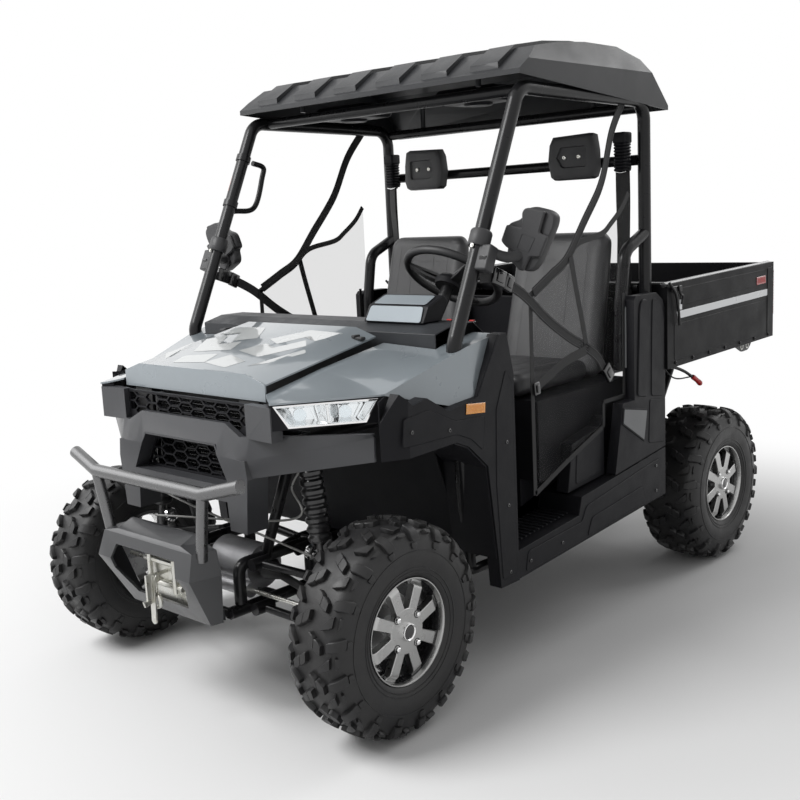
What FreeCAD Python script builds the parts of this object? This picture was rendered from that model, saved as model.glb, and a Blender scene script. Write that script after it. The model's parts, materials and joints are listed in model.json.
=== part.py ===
import FreeCAD, Part
import math
import os
import Sketcher

# A two-seat side-by-side utility vehicle with a tipping bed, in millimetres.
# +X is the vehicle's left, -Y its front and +Z up; the ground is Z = 0 and the
# origin lies under the middle of the overall length. "Station" names a distance
# behind the front axle, so a station becomes Y by adding front_axle.

vector = FreeCAD.Vector

# ------------------------------------------------------------------ driving sizes
SIZES = [
    # running gear
    ("wheelbase", 1932), ("front_axle", -1010), ("tyre_radius", 312), ("front_tyre_width", 212),
    ("rear_tyre_width", 250), ("front_track_half", 621), ("rear_track_half", 602), ("rim_radius", 166),
    ("rim_wall", 5), ("rim_lip", 9), ("rim_face_inset", 24), ("tyre_shoulder", 58), ("tyre_bead", 20),
    ("tyre_wall", 14), ("spoke_count", 8), ("spoke_width", 30), ("spoke_depth", 16), ("hub_radius", 42),
    ("hub_bore", 15), ("kingpin_half", 500), ("rear_pin_half", 470), ("knuckle_half_depth", 22),
    ("ball_low", 240), ("ball_high", 398), ("arm_tube", 13), ("arm_spread", 92), ("arm_high_root", 440),
    ("pivot_sleeve", 19), ("pivot_sleeve_half", 34), ("running_gap", 6), ("fit_gap", 0.3),
    ("shaft_radius", 13), ("boot_radius", 36), ("gearcase_half", 95), ("gearcase_radius", 70),
    ("snout_length", 105), ("tie_rod", 7), ("rack_radius", 24), ("steering_arm", 10),
    ("shock_foot_share", 0.7), ("shock_foot_rise", 34), ("spring_radius", 36), ("spring_wire", 6),
    ("spring_turns", 9),
        # lower frame
    ("rail_half", 250), ("rail_radius", 19), ("rail_height", 300), ("rail_front", -190),
    ("rail_rear", 338), ("rail_nose_half", 150), ("rail_taper", 320), ("rail_waist_rear", -492),
    ("sill_tube_half", 560), ("sill_tube_front", 455), ("sill_tube_rear", 1400), ("sill_bend", 30),
    ("skid_thick", 4), ("skid_half", 262),
    # upper frames
    ("cross_radius", 16), ("tower_half", 320), ("tower_top", 820), ("tower_front", -38),
    ("tower_rear", 300), ("hinge_pin", 6), ("hood_pin_station", -130), ("hood_pin_height", 978),
    ("hood_pin_half", 215), ("lug_thick", 8), ("bed_rail_height", 790), ("bed_rail_front", -512),
    ("bed_rail_rear", 308),
    # engine bay
    ("engine_front", -490), ("engine_rear", -170), ("engine_half", 190), ("engine_high", 660),
    ("muffler_radius", 75), ("muffler_half", 190), ("muffler_station", 102),
    # cab
    ("floor_height", 352), ("floor_front", 500), ("floor_rear", 790), ("floor_half", 520), ("panel", 5),
    ("toe_height", 560), ("toe_front", 425), ("firewall_top", 800), ("seat_box_top", 830),
    ("seat_box_rear", 1360), ("seat_box_half", 600), ("body_half", 690), ("sill_bottom", 304),
    ("sill_front", 540), ("sill_rear", 1478), ("sill_top_front", 398), ("sill_top_middle", 428),
    ("sill_step", 886), ("sill_riser", 905), ("sill_shelf", 488), ("sill_top_rear", 552),
    ("sill_tail_low", 370), ("seat_centre", 335), ("seat_half", 222), ("cushion_front", 755),
    ("cushion_rear", 1195), ("cushion_high", 925), ("back_high", 1370), ("back_lean", 130),
    ("back_depth", 95), ("seat_edge", 22), ("bulkhead_top", 1112), ("headrest_across", 365), ("headrest_half", 108), ("headrest_depth", 62),
    ("headrest_drop", 58), ("headrest_rise", 110),
    # dash and wheel
    ("dash_front", 332), ("dash_face", 515), ("dash_rear", 620), ("dash_top", 1122),
    ("dash_bar_height", 950), ("dash_low", 820), ("dash_half", 560), ("dash_edge", 20), ("dash_chin", 30), ("dash_tuck", 110), ("cowl_front", 306),
    ("wheel_x", 330), ("wheel_station", 700), ("wheel_height", 1245), ("wheel_radius", 176),
    ("wheel_rim", 14), ("column_elevation", 53), ("column_radius", 21), ("boss_drop", 44), ("wheel_plate", 9), ("wheel_arm", 30),
    ("pod_half", 130), ("pod_front", 395), ("pod_rear", 520), ("pod_top", 1205),
    # cage
    ("cage_radius", 23), ("guard_radius", 22), ("bar_radius", 19), ("cage_inset", 62),
    ("cage_foot_half", 548), ("pillar_base", 335), ("pillar_base_height", 1070), ("pillar_top", 690),
    ("cage_top_front", 1828), ("cage_top_rear", 1815), ("post_station", 1445), ("post_knee", 950),
    ("cage_bend", 70), ("headrest_bar_height", 1612), ("belt_bar_height", 1152), ("guard_front", 1272), ("guard_top", 1290),
    ("guard_join", 1352), ("guard_foot", 870), ("guard_lean", 30),
    # roof
    ("roof_overhang", 34), ("roof_top_half", 606), ("roof_front", 655), ("roof_rear", 1560),
    ("roof_high", 1990), ("roof_lip", 1862), ("roof_boss_half", 420), ("roof_tail", 1786),
    ("roof_wall", 5), ("roof_rib", 12), ("roof_rib_half", 62), ("roof_rib_pitch", 206),
    ("roof_rib_chamfer", 14), ("roof_ribs", 6), ("roof_edge", 16),
    # hood and front panels
    ("hood_front", -152), ("hood_rear", 300), ("hood_inset", 344), ("hood_flat_half", 262),
    ("hood_front_edge", 1008), ("hood_rear_edge", 1092), ("hood_crown", 26), ("hood_lip", 958),
    ("panel_gap", 6), ("flare_overhang", 6), ("flare_front_inset", 50), ("fender_front", -34),
    ("fender_taper", 50), ("fender_rear", 534), ("fender_foot", 305), ("fender_depth", 46),
    ("dash_well", 60), ("fender_rear_high", 1094), ("lamp_inner_inset", 272), ("lamp_outer_inset", 86),
    ("lamp_front_inner", -206), ("lamp_front_outer", 50), ("lamp_low", 890), ("lamp_high", 962.6),
    ("lamp_depth", 70), ("lamp_edge", 10), ("ledge_depth", 18), ("fascia_wall", 7), ("fascia_face", -222), ("leg_depth", 78),
    ("leg_low", 581), ("leg_half", 302), ("leg_inner", 228), ("chin_low", 665), ("hood_well_gap", 20),
    ("slot_low", 846), ("slot_high", 953), ("slot_half", 300), ("slot_block_high", 955),
    ("grille_top_half", 172), ("grille_low_half", 236), ("grille_top", 826), ("grille_low", 712),
    ("grille_set_back", 48), ("grille_depth", 10), ("mesh_half_width", 34), ("mesh_flat_half", 19),
    ("mesh_half_height", 13), ("mesh_bar", 5), ("mesh_frame", 7),
    # bar and bumper
    ("bar_front", -342), ("bar_height", 722), ("bar_flat_half", 268), ("bar_end_half", 414),
    ("bar_end_front", -322), ("bar_end_height", 760), ("bull_radius", 20), ("bull_bend", 60),
    ("bar_post_foot", 226), ("bar_post_at", -332), ("bar_post_low", 520), ("bar_post_radius", 17),
    ("bumper_wall", 8), ("bracket_half", 140), ("mouth_lap", 16), ("winch_set_back", 85.5),
    ("winch_half", 100), ("drum_radius", 38), ("roller_radius", 9), ("roller_half", 62),
    ("roller_rise", 34), ("hook_drop", 78), ("hook_reach", 40),
    # rear panels
    ("quarter_front", 1256), ("quarter_rear", 1478), ("quarter_high", 1136), ("quarter_foot_front", 1122),
    ("quarter_shelf_front", 1176), ("quarter_shelf", 765), ("quarter_tuck", 30), ("patch_thick", 4),
    ("cheek_front", 885), ("cheek_high", 762), ("cheek_knee", 665), ("cheek_depth", 49),
    # bed
    ("bed_front", -454), ("bed_rear", 468), ("bed_overhang", 10), ("bed_floor", 880), ("bed_low", 846),
    ("bed_top_front", 1160), ("bed_top_rear", 1184), ("bed_wall", 24), ("bed_hinge", 263), ("bed_pin", 9),
    ("bed_pad", 18), ("bed_fall", 20), ("tailgate_thick", 26), ("tailgate_pin", 5), ("tailgate_knuckle", 11),
    ("tailgate_pin_height", 874), ("swing_gap", 6),
    # mirrors and handle
    ("mirror_reach", 124), ("mirror_station", 560), ("mirror_height", 1368), ("mirror_depth", 48),
    ("mirror_arm", 8), ("mirror_bend", 18), ("net_thick", 4), ("net_high", 1500), ("net_middle", 1137), ("net_low", 535),
    ("net_rear_low", 690), ("net_rise", 32), ("net_slack", 44),
    # tow hitch
    ("belt_across", 567), ("belt_half", 28), ("belt_low", 1585), ("belt_high", 1712), ("grab_low", 470),
    ("grab_high", 660), ("grab_reach", 62), ("grab_radius", 11), ("lamp_thick", 6),
    ("tail_lamp_width", 22), ("tail_lamp_low", 960), ("tail_lamp_high", 1150), ("hitch_half", 31.75),
    ("hitch_bore_half", 25.4), ("hitch_length", 150),
]

# Faceted skins: each row is one cross-section or corner, and its columns name what they place.
PROFILES = {
    # the bumper-like cheek across the nose, from its middle out to the fender
    "cheek": (("across", "ledge", "ledge_at", "crease", "crease_at", "foot", "foot_at"),
              [(0, 893, -200, 800, -222, 745, -218),
               (208, 893, -200, 800, -222, 745, -218),
               (274, 860, -203, 797, -222, 744, -216),
               (312, 862, -198, 797, -214, 743, -207)]),
    "cheek_end": (("ledge", "ledge_at", "crease", "crease_at", "foot", "foot_at"),
                  [(875, -38, 862, -26, 795, -28)]),
    # the painted panel beside the hood, from the lamp back to the pillar
    "wing": (("at", "root", "shoulder_inset", "shoulder", "waist_inset", "waist"),
             [(-206, 972, 270, 968, 269, 963),
              (59, 1026, 88, 968, 87, 963),
              (360, 1074, 35, 1066, 3, 880),
              (503, 1092, 28, 1090, 1, 880)]),
    # the black flare's outline, clockwise from its front upper corner
    "flare": (("at", "height"),
              [(-34, 875), (30, 978), (70, 941), (130, 953), (222, 900), (358, 921), (468, 1092),
               (503, 1094),
               (534, 966), (534, 305), (440, 305), (431, 404), (394, 704), (308, 779), (251, 803), (-28,
                                                                                                    794)]),
    # the mirror's housing round its own middle
    "housing": (("across", "height"),
                [(-52, 94), (39, 92), (84, 64), (66, -10), (18, -92), (-37, -100), (-87, -68), (-118, -13),
                 (-97, 50)]),
    # how the roof's skin falls away from its crown, towards the front and towards the rear
    "brow": (("from_front", "drop"), [(110, 36), (260, 12), (420, 0)]),
    "back": (("from_rear", "drop"), [(290, 0), (160, 36)]),
    # the bumper's levels, each a front edge and a rear edge
    "bumper": (("height", "half", "front", "rear_half", "rear"),
               [(305, 195, -295, 203, -256),
                (470, 232, -385, 258, -290),
                (545, 222, -362, 245, -292),
                (557, 160, -354, 200, -292),
                (578, 158, -306, 162, -292)]),
    # the opening between its limbs, half of it
    "mouth": (("across", "height"), [(128, 352), (180, 432), (148, 514)]),
    "patch": (("at", "height"), [(1176, 750), (1342, 720), (1318, 603), (1167, 692)]),
}
for name, (columns, rows) in PROFILES.items():
    for index, row in enumerate(rows):
        SIZES += [(f"{name}_{column}_{index}", value) for column, value in zip(columns, row)]

doc = FreeCAD.newDocument("utility_vehicle")
sheet = doc.addObject("Spreadsheet::Sheet", "Sizes")
for row, (alias, number) in enumerate(SIZES, start=1):
    sheet.set(f"A{row}", alias)
    sheet.set(f"B{row}", str(number))
    sheet.setAlias(f"B{row}", alias)
doc.recompute()


class Size:
    # A number together with the sheet expression that gives it.
    def __init__(self, value, text):
        self.value = value
        self.text = text

    def __add__(self, other):
        other = sized(other)
        return Size(self.value + other.value, f"({self.text} + {other.text})")

    def __sub__(self, other):
        other = sized(other)
        return Size(self.value - other.value, f"({self.text} - {other.text})")

    def __mul__(self, other):
        other = sized(other)
        return Size(self.value * other.value, f"({self.text} * {other.text})")

    def __truediv__(self, other):
        other = sized(other)
        return Size(self.value / other.value, f"({self.text} / {other.text})")

    def __neg__(self):
        return Size(-self.value, f"(0 - {self.text})")

    __radd__ = __add__
    __rmul__ = __mul__

    def __rsub__(self, other):
        return sized(other) - self

    def __rtruediv__(self, other):
        return sized(other) / self


def sized(number):
    return number if isinstance(number, Size) else Size(float(number), f"({number})")


class Named:
    # size.wheelbase is the sheet's cell of that alias.
    def __getattr__(self, alias):
        return Size(float(sheet.get(alias)), f"Sizes.{alias}")


size = Named()


# widths that follow the body's own
bodyHalf = size.body_half
cageHalf = bodyHalf - size.cage_inset
roofHalf = cageHalf + size.roof_overhang
bedHalf = bodyHalf + size.bed_overhang
mirrorAcross = cageHalf + size.mirror_reach
fenderOuter = bodyHalf + size.flare_overhang
fenderFrontHalf = bodyHalf - size.flare_front_inset
hoodHalf = bodyHalf - size.hood_inset
lampInner = bodyHalf - size.lamp_inner_inset
lampOuter = bodyHalf - size.lamp_outer_inset


def station(distance):
    # Y of a point this far behind the front axle
    return size.front_axle + distance


def tail(distance):
    # a distance behind the rear axle, as a Y
    return station(size.wheelbase + distance)


def table(name):
    # a profile's rows, each a dictionary of named sizes
    columns, rows = PROFILES[name]
    return [{column: getattr(size, f"{name}_{column}_{index}") for column in columns}
            for index in range(len(rows))]


def number(value):
    return sized(value).value


def point(*place):
    return vector(*[number(value) for value in place])


def toward(start, end, distance):
    # the point this far along from start to end
    line = point(*end) - point(*start)
    return tuple(point(*start) + line.normalize() * number(distance))


def bind(thing, name, value):
    thing.setExpression(name, sized(value).text)


# ------------------------------------------------------------------ building blocks
pieces = {}
PLANE_TURN = {
    "XY": FreeCAD.Rotation(),
    "XZ": FreeCAD.Rotation(vector(1, 0, 0), 90),
    "YZ": FreeCAD.Rotation(vector(1, 1, 1), 120),
}
PLANE_AXIS = {"XY": "z", "XZ": "y", "YZ": "x"}


def keep(label, thing):
    # Enter a finished sub-part under the name of its file.
    thing.Label = label
    pieces[label] = thing
    return thing


def draw(sketch, points, closed=True):
    # A chain of straight lines with every corner's place bound to the sheet.
    corners = [vector(number(across), number(up), 0) for across, up in points]
    count = len(corners) if closed else len(corners) - 1
    first = sketch.GeometryCount
    for index in range(count):
        sketch.addGeometry(Part.LineSegment(corners[index], corners[(index + 1) % len(corners)]), False)
    for index in range(count - (0 if closed else 1)):
        sketch.addConstraint(Sketcher.Constraint("Coincident", first + index, 2,
                                                 first + (index + 1) % count, 1))
    for index, (across, up) in enumerate(points):
        line = first + min(index, count - 1)
        end = 1 if index < count else 2
        for kind, value in (("DistanceX", across), ("DistanceY", up)):
            held = sketch.addConstraint(Sketcher.Constraint(kind, -1, 1, line, end, number(value)))
            bind(sketch, f"Constraints[{held}]", value)


def circle(sketch, across, up, radius):
    index = sketch.addGeometry(Part.Circle(vector(number(across), number(up), 0), vector(0, 0, 1),
                                           number(radius)))
    for kind, value in (("DistanceX", across), ("DistanceY", up)):
        held = sketch.addConstraint(Sketcher.Constraint(kind, -1, 1, index, 3, number(value)))
        bind(sketch, f"Constraints[{held}]", value)
    held = sketch.addConstraint(Sketcher.Constraint("Radius", index, number(radius)))
    bind(sketch, f"Constraints[{held}]", radius)


def body(label):
    made = doc.addObject("PartDesign::Body", label)
    made.AllowCompound = True
    return made


def datum(owner, role):
    return next(item for item in owner.Origin.OriginFeatures if item.Role == role)


def profile(owner, plane, offset, loops=(), circles=()):
    # A sketch on one of the body's own planes, shifted along its normal.
    sketch = owner.newObject("Sketcher::SketchObject", "Profile")
    sketch.AttachmentSupport = [(datum(owner, f"{plane}_Plane"), "")]
    sketch.MapMode = "FlatFace"
    bind(sketch, "AttachmentOffset.Base.z", offset)
    for loop in loops:
        draw(sketch, loop)
    for ring in circles:
        circle(sketch, *ring)
    return sketch


def span(plane, start, end):
    # The XZ plane looks along -Y, so its span is turned round.
    return (-sized(end), -sized(start)) if plane == "XZ" else (sized(start), sized(end))


def pad(owner, plane, start, end, loops=(), circles=()):
    low, high = span(plane, start, end)
    sketch = profile(owner, plane, low, loops, circles)
    made = owner.newObject("PartDesign::Pad", "Pad")
    made.Profile = sketch
    bind(made, "Length", high - low)
    return made


def pocket(owner, plane, start, end, loops=(), circles=()):
    low, high = span(plane, start, end)
    sketch = profile(owner, plane, high, loops, circles)
    made = owner.newObject("PartDesign::Pocket", "Pocket")
    made.Profile = sketch
    bind(made, "Length", high - low)
    return made


def loft(owner, plane, sections):
    # Straight-sided skin through a few outlines, each (place along the axis, outline).
    sketches = [profile(owner, plane, -sized(place) if plane == "XZ" else place, [outline])
                for place, outline in sections]
    made = owner.newObject("PartDesign::AdditiveLoft", "Loft")
    made.Profile = sketches[0]
    made.Sections = sketches[1:]
    made.Ruled = True
    return made


def revolve(owner, loops, angle=360):
    # Outlines in the YZ or XY plane turned about the body's own X axis.
    sketch = profile(owner, "XY", 0, loops)
    made = owner.newObject("PartDesign::Revolution", "Revolution")
    made.Profile = sketch
    made.ReferenceAxis = (datum(owner, "X_Axis"), [""])
    made.Angle = angle
    return made


def soften(owner, radius, chosen):
    # Round every edge of the body so far that the test picks.
    doc.recompute()
    base = owner.Tip
    names = [f"Edge{index}" for index, edge in enumerate(base.Shape.Edges, start=1) if chosen(edge)]
    made = owner.newObject("PartDesign::Fillet", "Fillet")
    made.Base = (base, names)
    bind(made, "Radius", radius)
    return made


def upright(edge):
    box = edge.BoundBox
    return box.ZLength > 1 and box.XLength < 0.01 and box.YLength < 0.01


def prism(label, plane, start, end, loops=(), circles=()):
    made = body(label)
    pad(made, plane, start, end, loops, circles)
    return made


def bentSheet(label, plane, points, thick, start, end):
    # A sheet of one thickness folded along an open chain; it thickens to the chain's right.
    sketch = doc.addObject("Sketcher::SketchObject", f"{label}_fold")
    sketch.Placement = FreeCAD.Placement(vector(), PLANE_TURN[plane])
    bind(sketch, f"Placement.Base.{PLANE_AXIS[plane]}", start)
    draw(sketch, points, closed=False)
    skin = doc.addObject("Part::Offset2D", f"{label}_skin")
    skin.Source = sketch
    skin.Mode = "Skin"
    skin.Join = "Intersection"
    skin.Fill = True
    bind(skin, "Value", thick)
    made = doc.addObject("Part::Extrusion", label)
    made.Base = skin
    made.DirMode = "Custom"
    made.Dir = {"XY": vector(0, 0, 1), "XZ": vector(0, 1, 0), "YZ": vector(1, 0, 0)}[plane]
    made.Solid = True
    bind(made, "LengthFwd", sized(end) - start)
    return made


def tray(label, points, inside, outside, wall):
    # A plate at the outer end with a rim turned in all round it, both of one wall.
    sketch = doc.addObject("Sketcher::SketchObject", f"{label}_outline")
    sketch.Placement = FreeCAD.Placement(vector(), PLANE_TURN["YZ"])
    bind(sketch, "Placement.Base.x", sized(inside) - 1)
    draw(sketch, points)
    shrunk = doc.addObject("Part::Offset2D", f"{label}_shrunk")
    shrunk.Source = sketch
    shrunk.Join = "Tangent"
    bind(shrunk, "Value", -sized(wall))
    hollow = doc.addObject("Part::Extrusion", f"{label}_hollow")
    hollow.Base = shrunk
    hollow.DirMode = "Custom"
    hollow.Dir = vector(1, 0, 0)
    hollow.Solid = True
    bind(hollow, "LengthFwd", sized(outside) - inside - wall + 1)
    return cut(label, prism(f"{label}_block", "YZ", inside, outside, [points]), hollow)


def cut(label, base, *tools):
    made = base
    for index, tool in enumerate(tools):
        step = doc.addObject("Part::Cut", f"{label}_cut{index}")
        step.Base = made
        step.Tool = tool
        made = step
    return made


def common(label, *shapes):
    made = doc.addObject("Part::MultiCommon", label)
    made.Shapes = list(shapes)
    return made


def fuse(label, *shapes):
    made = doc.addObject("Part::MultiFuse", label)
    made.Shapes = list(shapes)
    return made


def mirrored(label, source):
    made = doc.addObject("Part::Mirroring", label)
    made.Source = source
    made.Normal = vector(1, 0, 0)
    return made


def together(label, *shapes):
    made = doc.addObject("Part::Compound", label)
    made.Links = list(shapes)
    return made


def bothSides(label, source):
    return together(label, source, mirrored(f"{label}_right", source))


def sided(points):
    # The outline given for +X from its first point to its last, closed by its mirror image.
    return list(points) + [(-sized(across), up) for across, up in reversed(points)]


def rectangle(left, bottom, right, top):
    return [(left, bottom), (right, bottom), (right, top), (left, top)]


def bentTube(points, radius, bend):
    # A round bar along straight runs joined by tangent arcs of one bend radius.
    places = [point(*place) for place in points]
    radius = number(radius)
    bend = number(bend)
    edges = []
    start = places[0]
    for before, corner, after in zip(places, places[1:], places[2:]):
        inward = (before - corner).normalize()
        outward = (after - corner).normalize()
        half = inward.getAngle(outward) / 2
        reach = bend / math.tan(half)
        first = corner + inward * reach
        last = corner + outward * reach
        middle = (inward + outward).normalize()
        deepest = corner + middle * (bend / math.sin(half) - bend)
        edges.append(Part.LineSegment(start, first).toShape())
        edges.append(Part.Arc(first, deepest, last).toShape())
        start = last
    edges.append(Part.LineSegment(start, places[-1]).toShape())
    path = Part.Wire(edges)
    ring = Part.Wire([Part.Circle(places[0], places[1] - places[0], radius).toShape()])
    return path.makePipeShell([ring], True, False)


def tubes(label, runs):
    # Bars welded into one frame: each run is (points, radius, bend).
    shapes = [bentTube(points, radius, bend) for points, radius, bend in runs]
    made = doc.addObject("Part::Feature", label)
    made.Shape = shapes[0].fuse(shapes[1:]) if len(shapes) > 1 else shapes[0]
    return made


def rod(label, start, end, radius):
    made = doc.addObject("Part::Cylinder", label)
    line = point(*end) - point(*start)
    bind(made, "Radius", radius)
    made.Height = line.Length
    made.Placement = FreeCAD.Placement(point(*start), FreeCAD.Rotation(vector(0, 0, 1), line))
    return made


# ------------------------------------------------------------------ wheels and hubs
def hubPlace(owner, side, trackHalf, axleStation):
    bind(owner, "Placement.Base.x", trackHalf * side)
    bind(owner, "Placement.Base.y", station(axleStation))
    bind(owner, "Placement.Base.z", size.tyre_radius)


def wheel(name, side, trackHalf, width, axleStation):
    # Both are turned about the axle; across is measured outward from the tyre's middle.
    half = width / 2
    tyre = body(f"{name}_tyre")
    crown = size.tyre_radius
    shoulder = crown - size.tyre_shoulder
    inner = size.rim_radius - size.rim_lip
    outer = [(-half + size.tyre_bead, inner), (-half, size.rim_radius + size.tyre_bead), (-half, shoulder),
             (-half + size.tyre_shoulder / 2, crown)]
    hollow = half - size.tyre_wall
    lining = [(hollow - size.tyre_bead, inner), (hollow, size.rim_radius + size.tyre_bead),
              (hollow, shoulder - size.tyre_wall), (hollow - size.tyre_wall, crown - size.tyre_wall * 2)]
    right = [(-across, up) for across, up in reversed(outer)]
    left = [(-across, up) for across, up in reversed(lining)]
    revolve(tyre, [outer + right + lining + left])
    hubPlace(tyre, side, trackHalf, axleStation)
    keep(f"{name}_tyre", tyre)

    rim = body(f"{name}_rim")
    rimHalf = half - size.tyre_bead - size.fit_gap
    barrel = inner - size.fit_gap
    lip = size.rim_radius - size.rim_lip / 2
    section = [(-rimHalf, barrel), (rimHalf, barrel), (rimHalf, barrel - size.rim_wall),
               (-rimHalf, barrel - size.rim_wall)]
    face = (rimHalf - size.rim_face_inset) * side
    revolve(rim, [section])
    low = (rimHalf - size.rim_face_inset - size.spoke_depth) * side
    ends = (low, face) if side > 0 else (face, low)
    pad(rim, "YZ", *ends, circles=[(0, 0, size.hub_radius)])
    for index in range(int(size.spoke_count.value)):
        turn = 360 / size.spoke_count * index
        reach = barrel - size.rim_wall / 2
        half_spoke = size.spoke_width / 2
        corners = [(size.hub_radius / 2, -half_spoke), (reach, -half_spoke * 0.8),
                   (reach, half_spoke * 0.8),
                   (size.hub_radius / 2, half_spoke)]
        pad(rim, "YZ", *ends, loops=[[(turned(turn, away, aside)) for away, aside in corners]])
    hubPlace(rim, side, trackHalf, axleStation)
    keep(f"{name}_rim", rim)


def turned(angle, away, aside):
    cosine = Size(math.cos(math.radians(angle.value)), f"cos({angle.text})")
    sine = Size(math.sin(math.radians(angle.value)), f"sin({angle.text})")
    return (away * cosine - aside * sine, away * sine + aside * cosine)


def wheels():
    for end, trackHalf, width, axle in (("front", size.front_track_half, size.front_tyre_width, 0),
                                        ("rear", size.rear_track_half, size.rear_tyre_width,
                                         size.wheelbase)):
        for hand, side in (("left", 1), ("right", -1)):
            wheel(f"{end}_{hand}", side, trackHalf, width, axle)


def knuckle(label, side, pinHalf, faceHalf, axle, steered):
    # Upright between the ball joints with the wheel's stub axle through it.
    made = body(label)
    depth = size.knuckle_half_depth
    middle = station(axle)
    low = knuckleLow()
    high = knuckleHigh()
    flank = [(pinHalf - depth, low), (pinHalf + depth, low), (pinHalf + depth, high),
             (pinHalf - depth, high)]
    pad(made, "XZ", middle - depth, middle + depth, [[(across * side, up) for across, up in flank]])
    ends = (pinHalf * side, faceHalf * side) if side > 0 else (faceHalf * side, pinHalf * side)
    pad(made, "YZ", *ends, circles=[(middle, size.tyre_radius, size.hub_bore)])
    if steered:
        tip = rackStation() - size.tie_rod
        arm = [(pinHalf - depth, middle), (pinHalf + depth, middle), (pinHalf + size.tie_rod * 2, tip),
               (pinHalf - size.tie_rod * 2, tip)]
        high = rackHeight() - size.tie_rod - size.fit_gap
        pad(made, "XY", high - size.steering_arm, high, [[(across * side, along) for across, along in arm]])
    return made


def knuckleLow():
    return size.ball_low + size.arm_tube + size.running_gap + size.fit_gap


def knuckleHigh():
    return size.ball_high - size.arm_tube - size.running_gap - size.fit_gap


def stubEnd(trackHalf, width):
    # the stub axle's end, a fit inside the wheel disc's back
    return trackHalf + width / 2 - size.tyre_bead - size.rim_face_inset - size.spoke_depth - size.fit_gap * 2


def knuckles():
    frontEnd = stubEnd(size.front_track_half, size.front_tyre_width)
    rearEnd = stubEnd(size.rear_track_half, size.rear_tyre_width)
    rear = []
    for hand, side in (("left", 1), ("right", -1)):
        label = f"front_{hand}_knuckle"
        keep(label, knuckle(label, side, size.kingpin_half, frontEnd, 0, True))
        rear.append(knuckle(f"rear_{hand}_knuckle", side, size.rear_pin_half, rearEnd, size.wheelbase,
                            False))
    keep("rear_knuckles", together("rear_knuckles", *rear))


def armRailReach():
    return size.arm_spread + size.pivot_sleeve_half + size.rail_radius


def rackStation():
    # the steering rack lies against the back of the nose uprights
    return station(0) - armRailReach() + size.rail_radius + size.rack_radius + size.fit_gap


def rackHeight():
    return size.tyre_radius + size.boot_radius + size.fit_gap


def rack():
    half = size.rail_nose_half
    bore = size.tie_rod + size.fit_gap
    housing = prism("rack_housing", "YZ", -half, half, circles=[(rackStation(), rackHeight(),
                                                                 size.rack_radius)])
    pocket(housing, "YZ", -half - 1, half + 1, circles=[(rackStation(), rackHeight(), bore)])
    keep("rack_housing", housing)
    rods = prism("tie_rods", "YZ", -size.kingpin_half, size.kingpin_half,
                 circles=[(rackStation(), rackHeight(), size.tie_rod)])
    keep("tie_rods", rods)


# ------------------------------------------------------------------ suspension
def armRootHalf():
    return size.rail_nose_half + size.rail_radius + size.pivot_sleeve + size.fit_gap


def shockFoot(pinHalf, axle, lead):
    # on the upper arm's leg, this share of the way out
    share = size.shock_foot_share
    across = armRootHalf() + (pinHalf - armRootHalf()) * share
    along = station(axle) + lead * size.arm_spread * (1 - share)
    up = size.arm_high_root + (size.ball_high - size.arm_high_root) * share + size.shock_foot_rise
    return point(across, along, up)


def shockHead(axle, lead, top):
    across = size.tower_half + size.rail_radius + size.pivot_sleeve + size.fit_gap
    return point(across, station(axle) + lead * size.arm_spread * (1 - size.shock_foot_share), top)


def cylinderBetween(start, end, radius):
    line = end - start
    return Part.makeCylinder(radius, line.Length, start, line)


def arms(label, pinHalf, axle, lead, headTop):
    # Two A-arms of two tubes each, from the frame pivots to the ball studs; the
    # upper one carries the shock's foot.
    made = []
    for level, rootHeight, tipHeight, upward in (("lower", size.rail_height, size.ball_low, 1),
                                                 ("upper", size.arm_high_root, size.ball_high, -1)):
        tip = point(pinHalf, station(axle), tipHeight)
        roots = [point(armRootHalf(), station(axle) + spread, rootHeight)
                 for spread in (-size.arm_spread, size.arm_spread)]
        legs = [cylinderBetween(root, tip, number(size.arm_tube)) for root in roots]
        half = point(0, size.pivot_sleeve_half, 0)
        sleeves = [cylinderBetween(root - half, root + half, number(size.pivot_sleeve)) for root in roots]
        rise = vector(0, 0, number(size.arm_tube))
        ball = cylinderBetween(tip - rise, tip + rise, number(size.pivot_sleeve))
        reach = number(size.arm_tube + size.running_gap)
        stud = cylinderBetween(tip, tip + vector(0, 0, upward * reach), number(size.hub_bore) / 2)
        parts = legs[1:] + sleeves + [ball, stud]
        if level == "upper":
            foot = shockFoot(pinHalf, axle, lead)
            lean = (shockHead(axle, lead, headTop) - foot).normalize()
            parts.append(cylinderBetween(foot - lean * number(size.shock_foot_rise), foot - lean * 0.3,
                                         number(size.arm_tube)))
        arm = doc.addObject("Part::Feature", f"{label}_{level}")
        arm.Shape = legs[0].fuse(parts)
        made += [arm, mirrored(f"{label}_{level}_right", arm)]
    return keep(label, together(label, *made))


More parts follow.
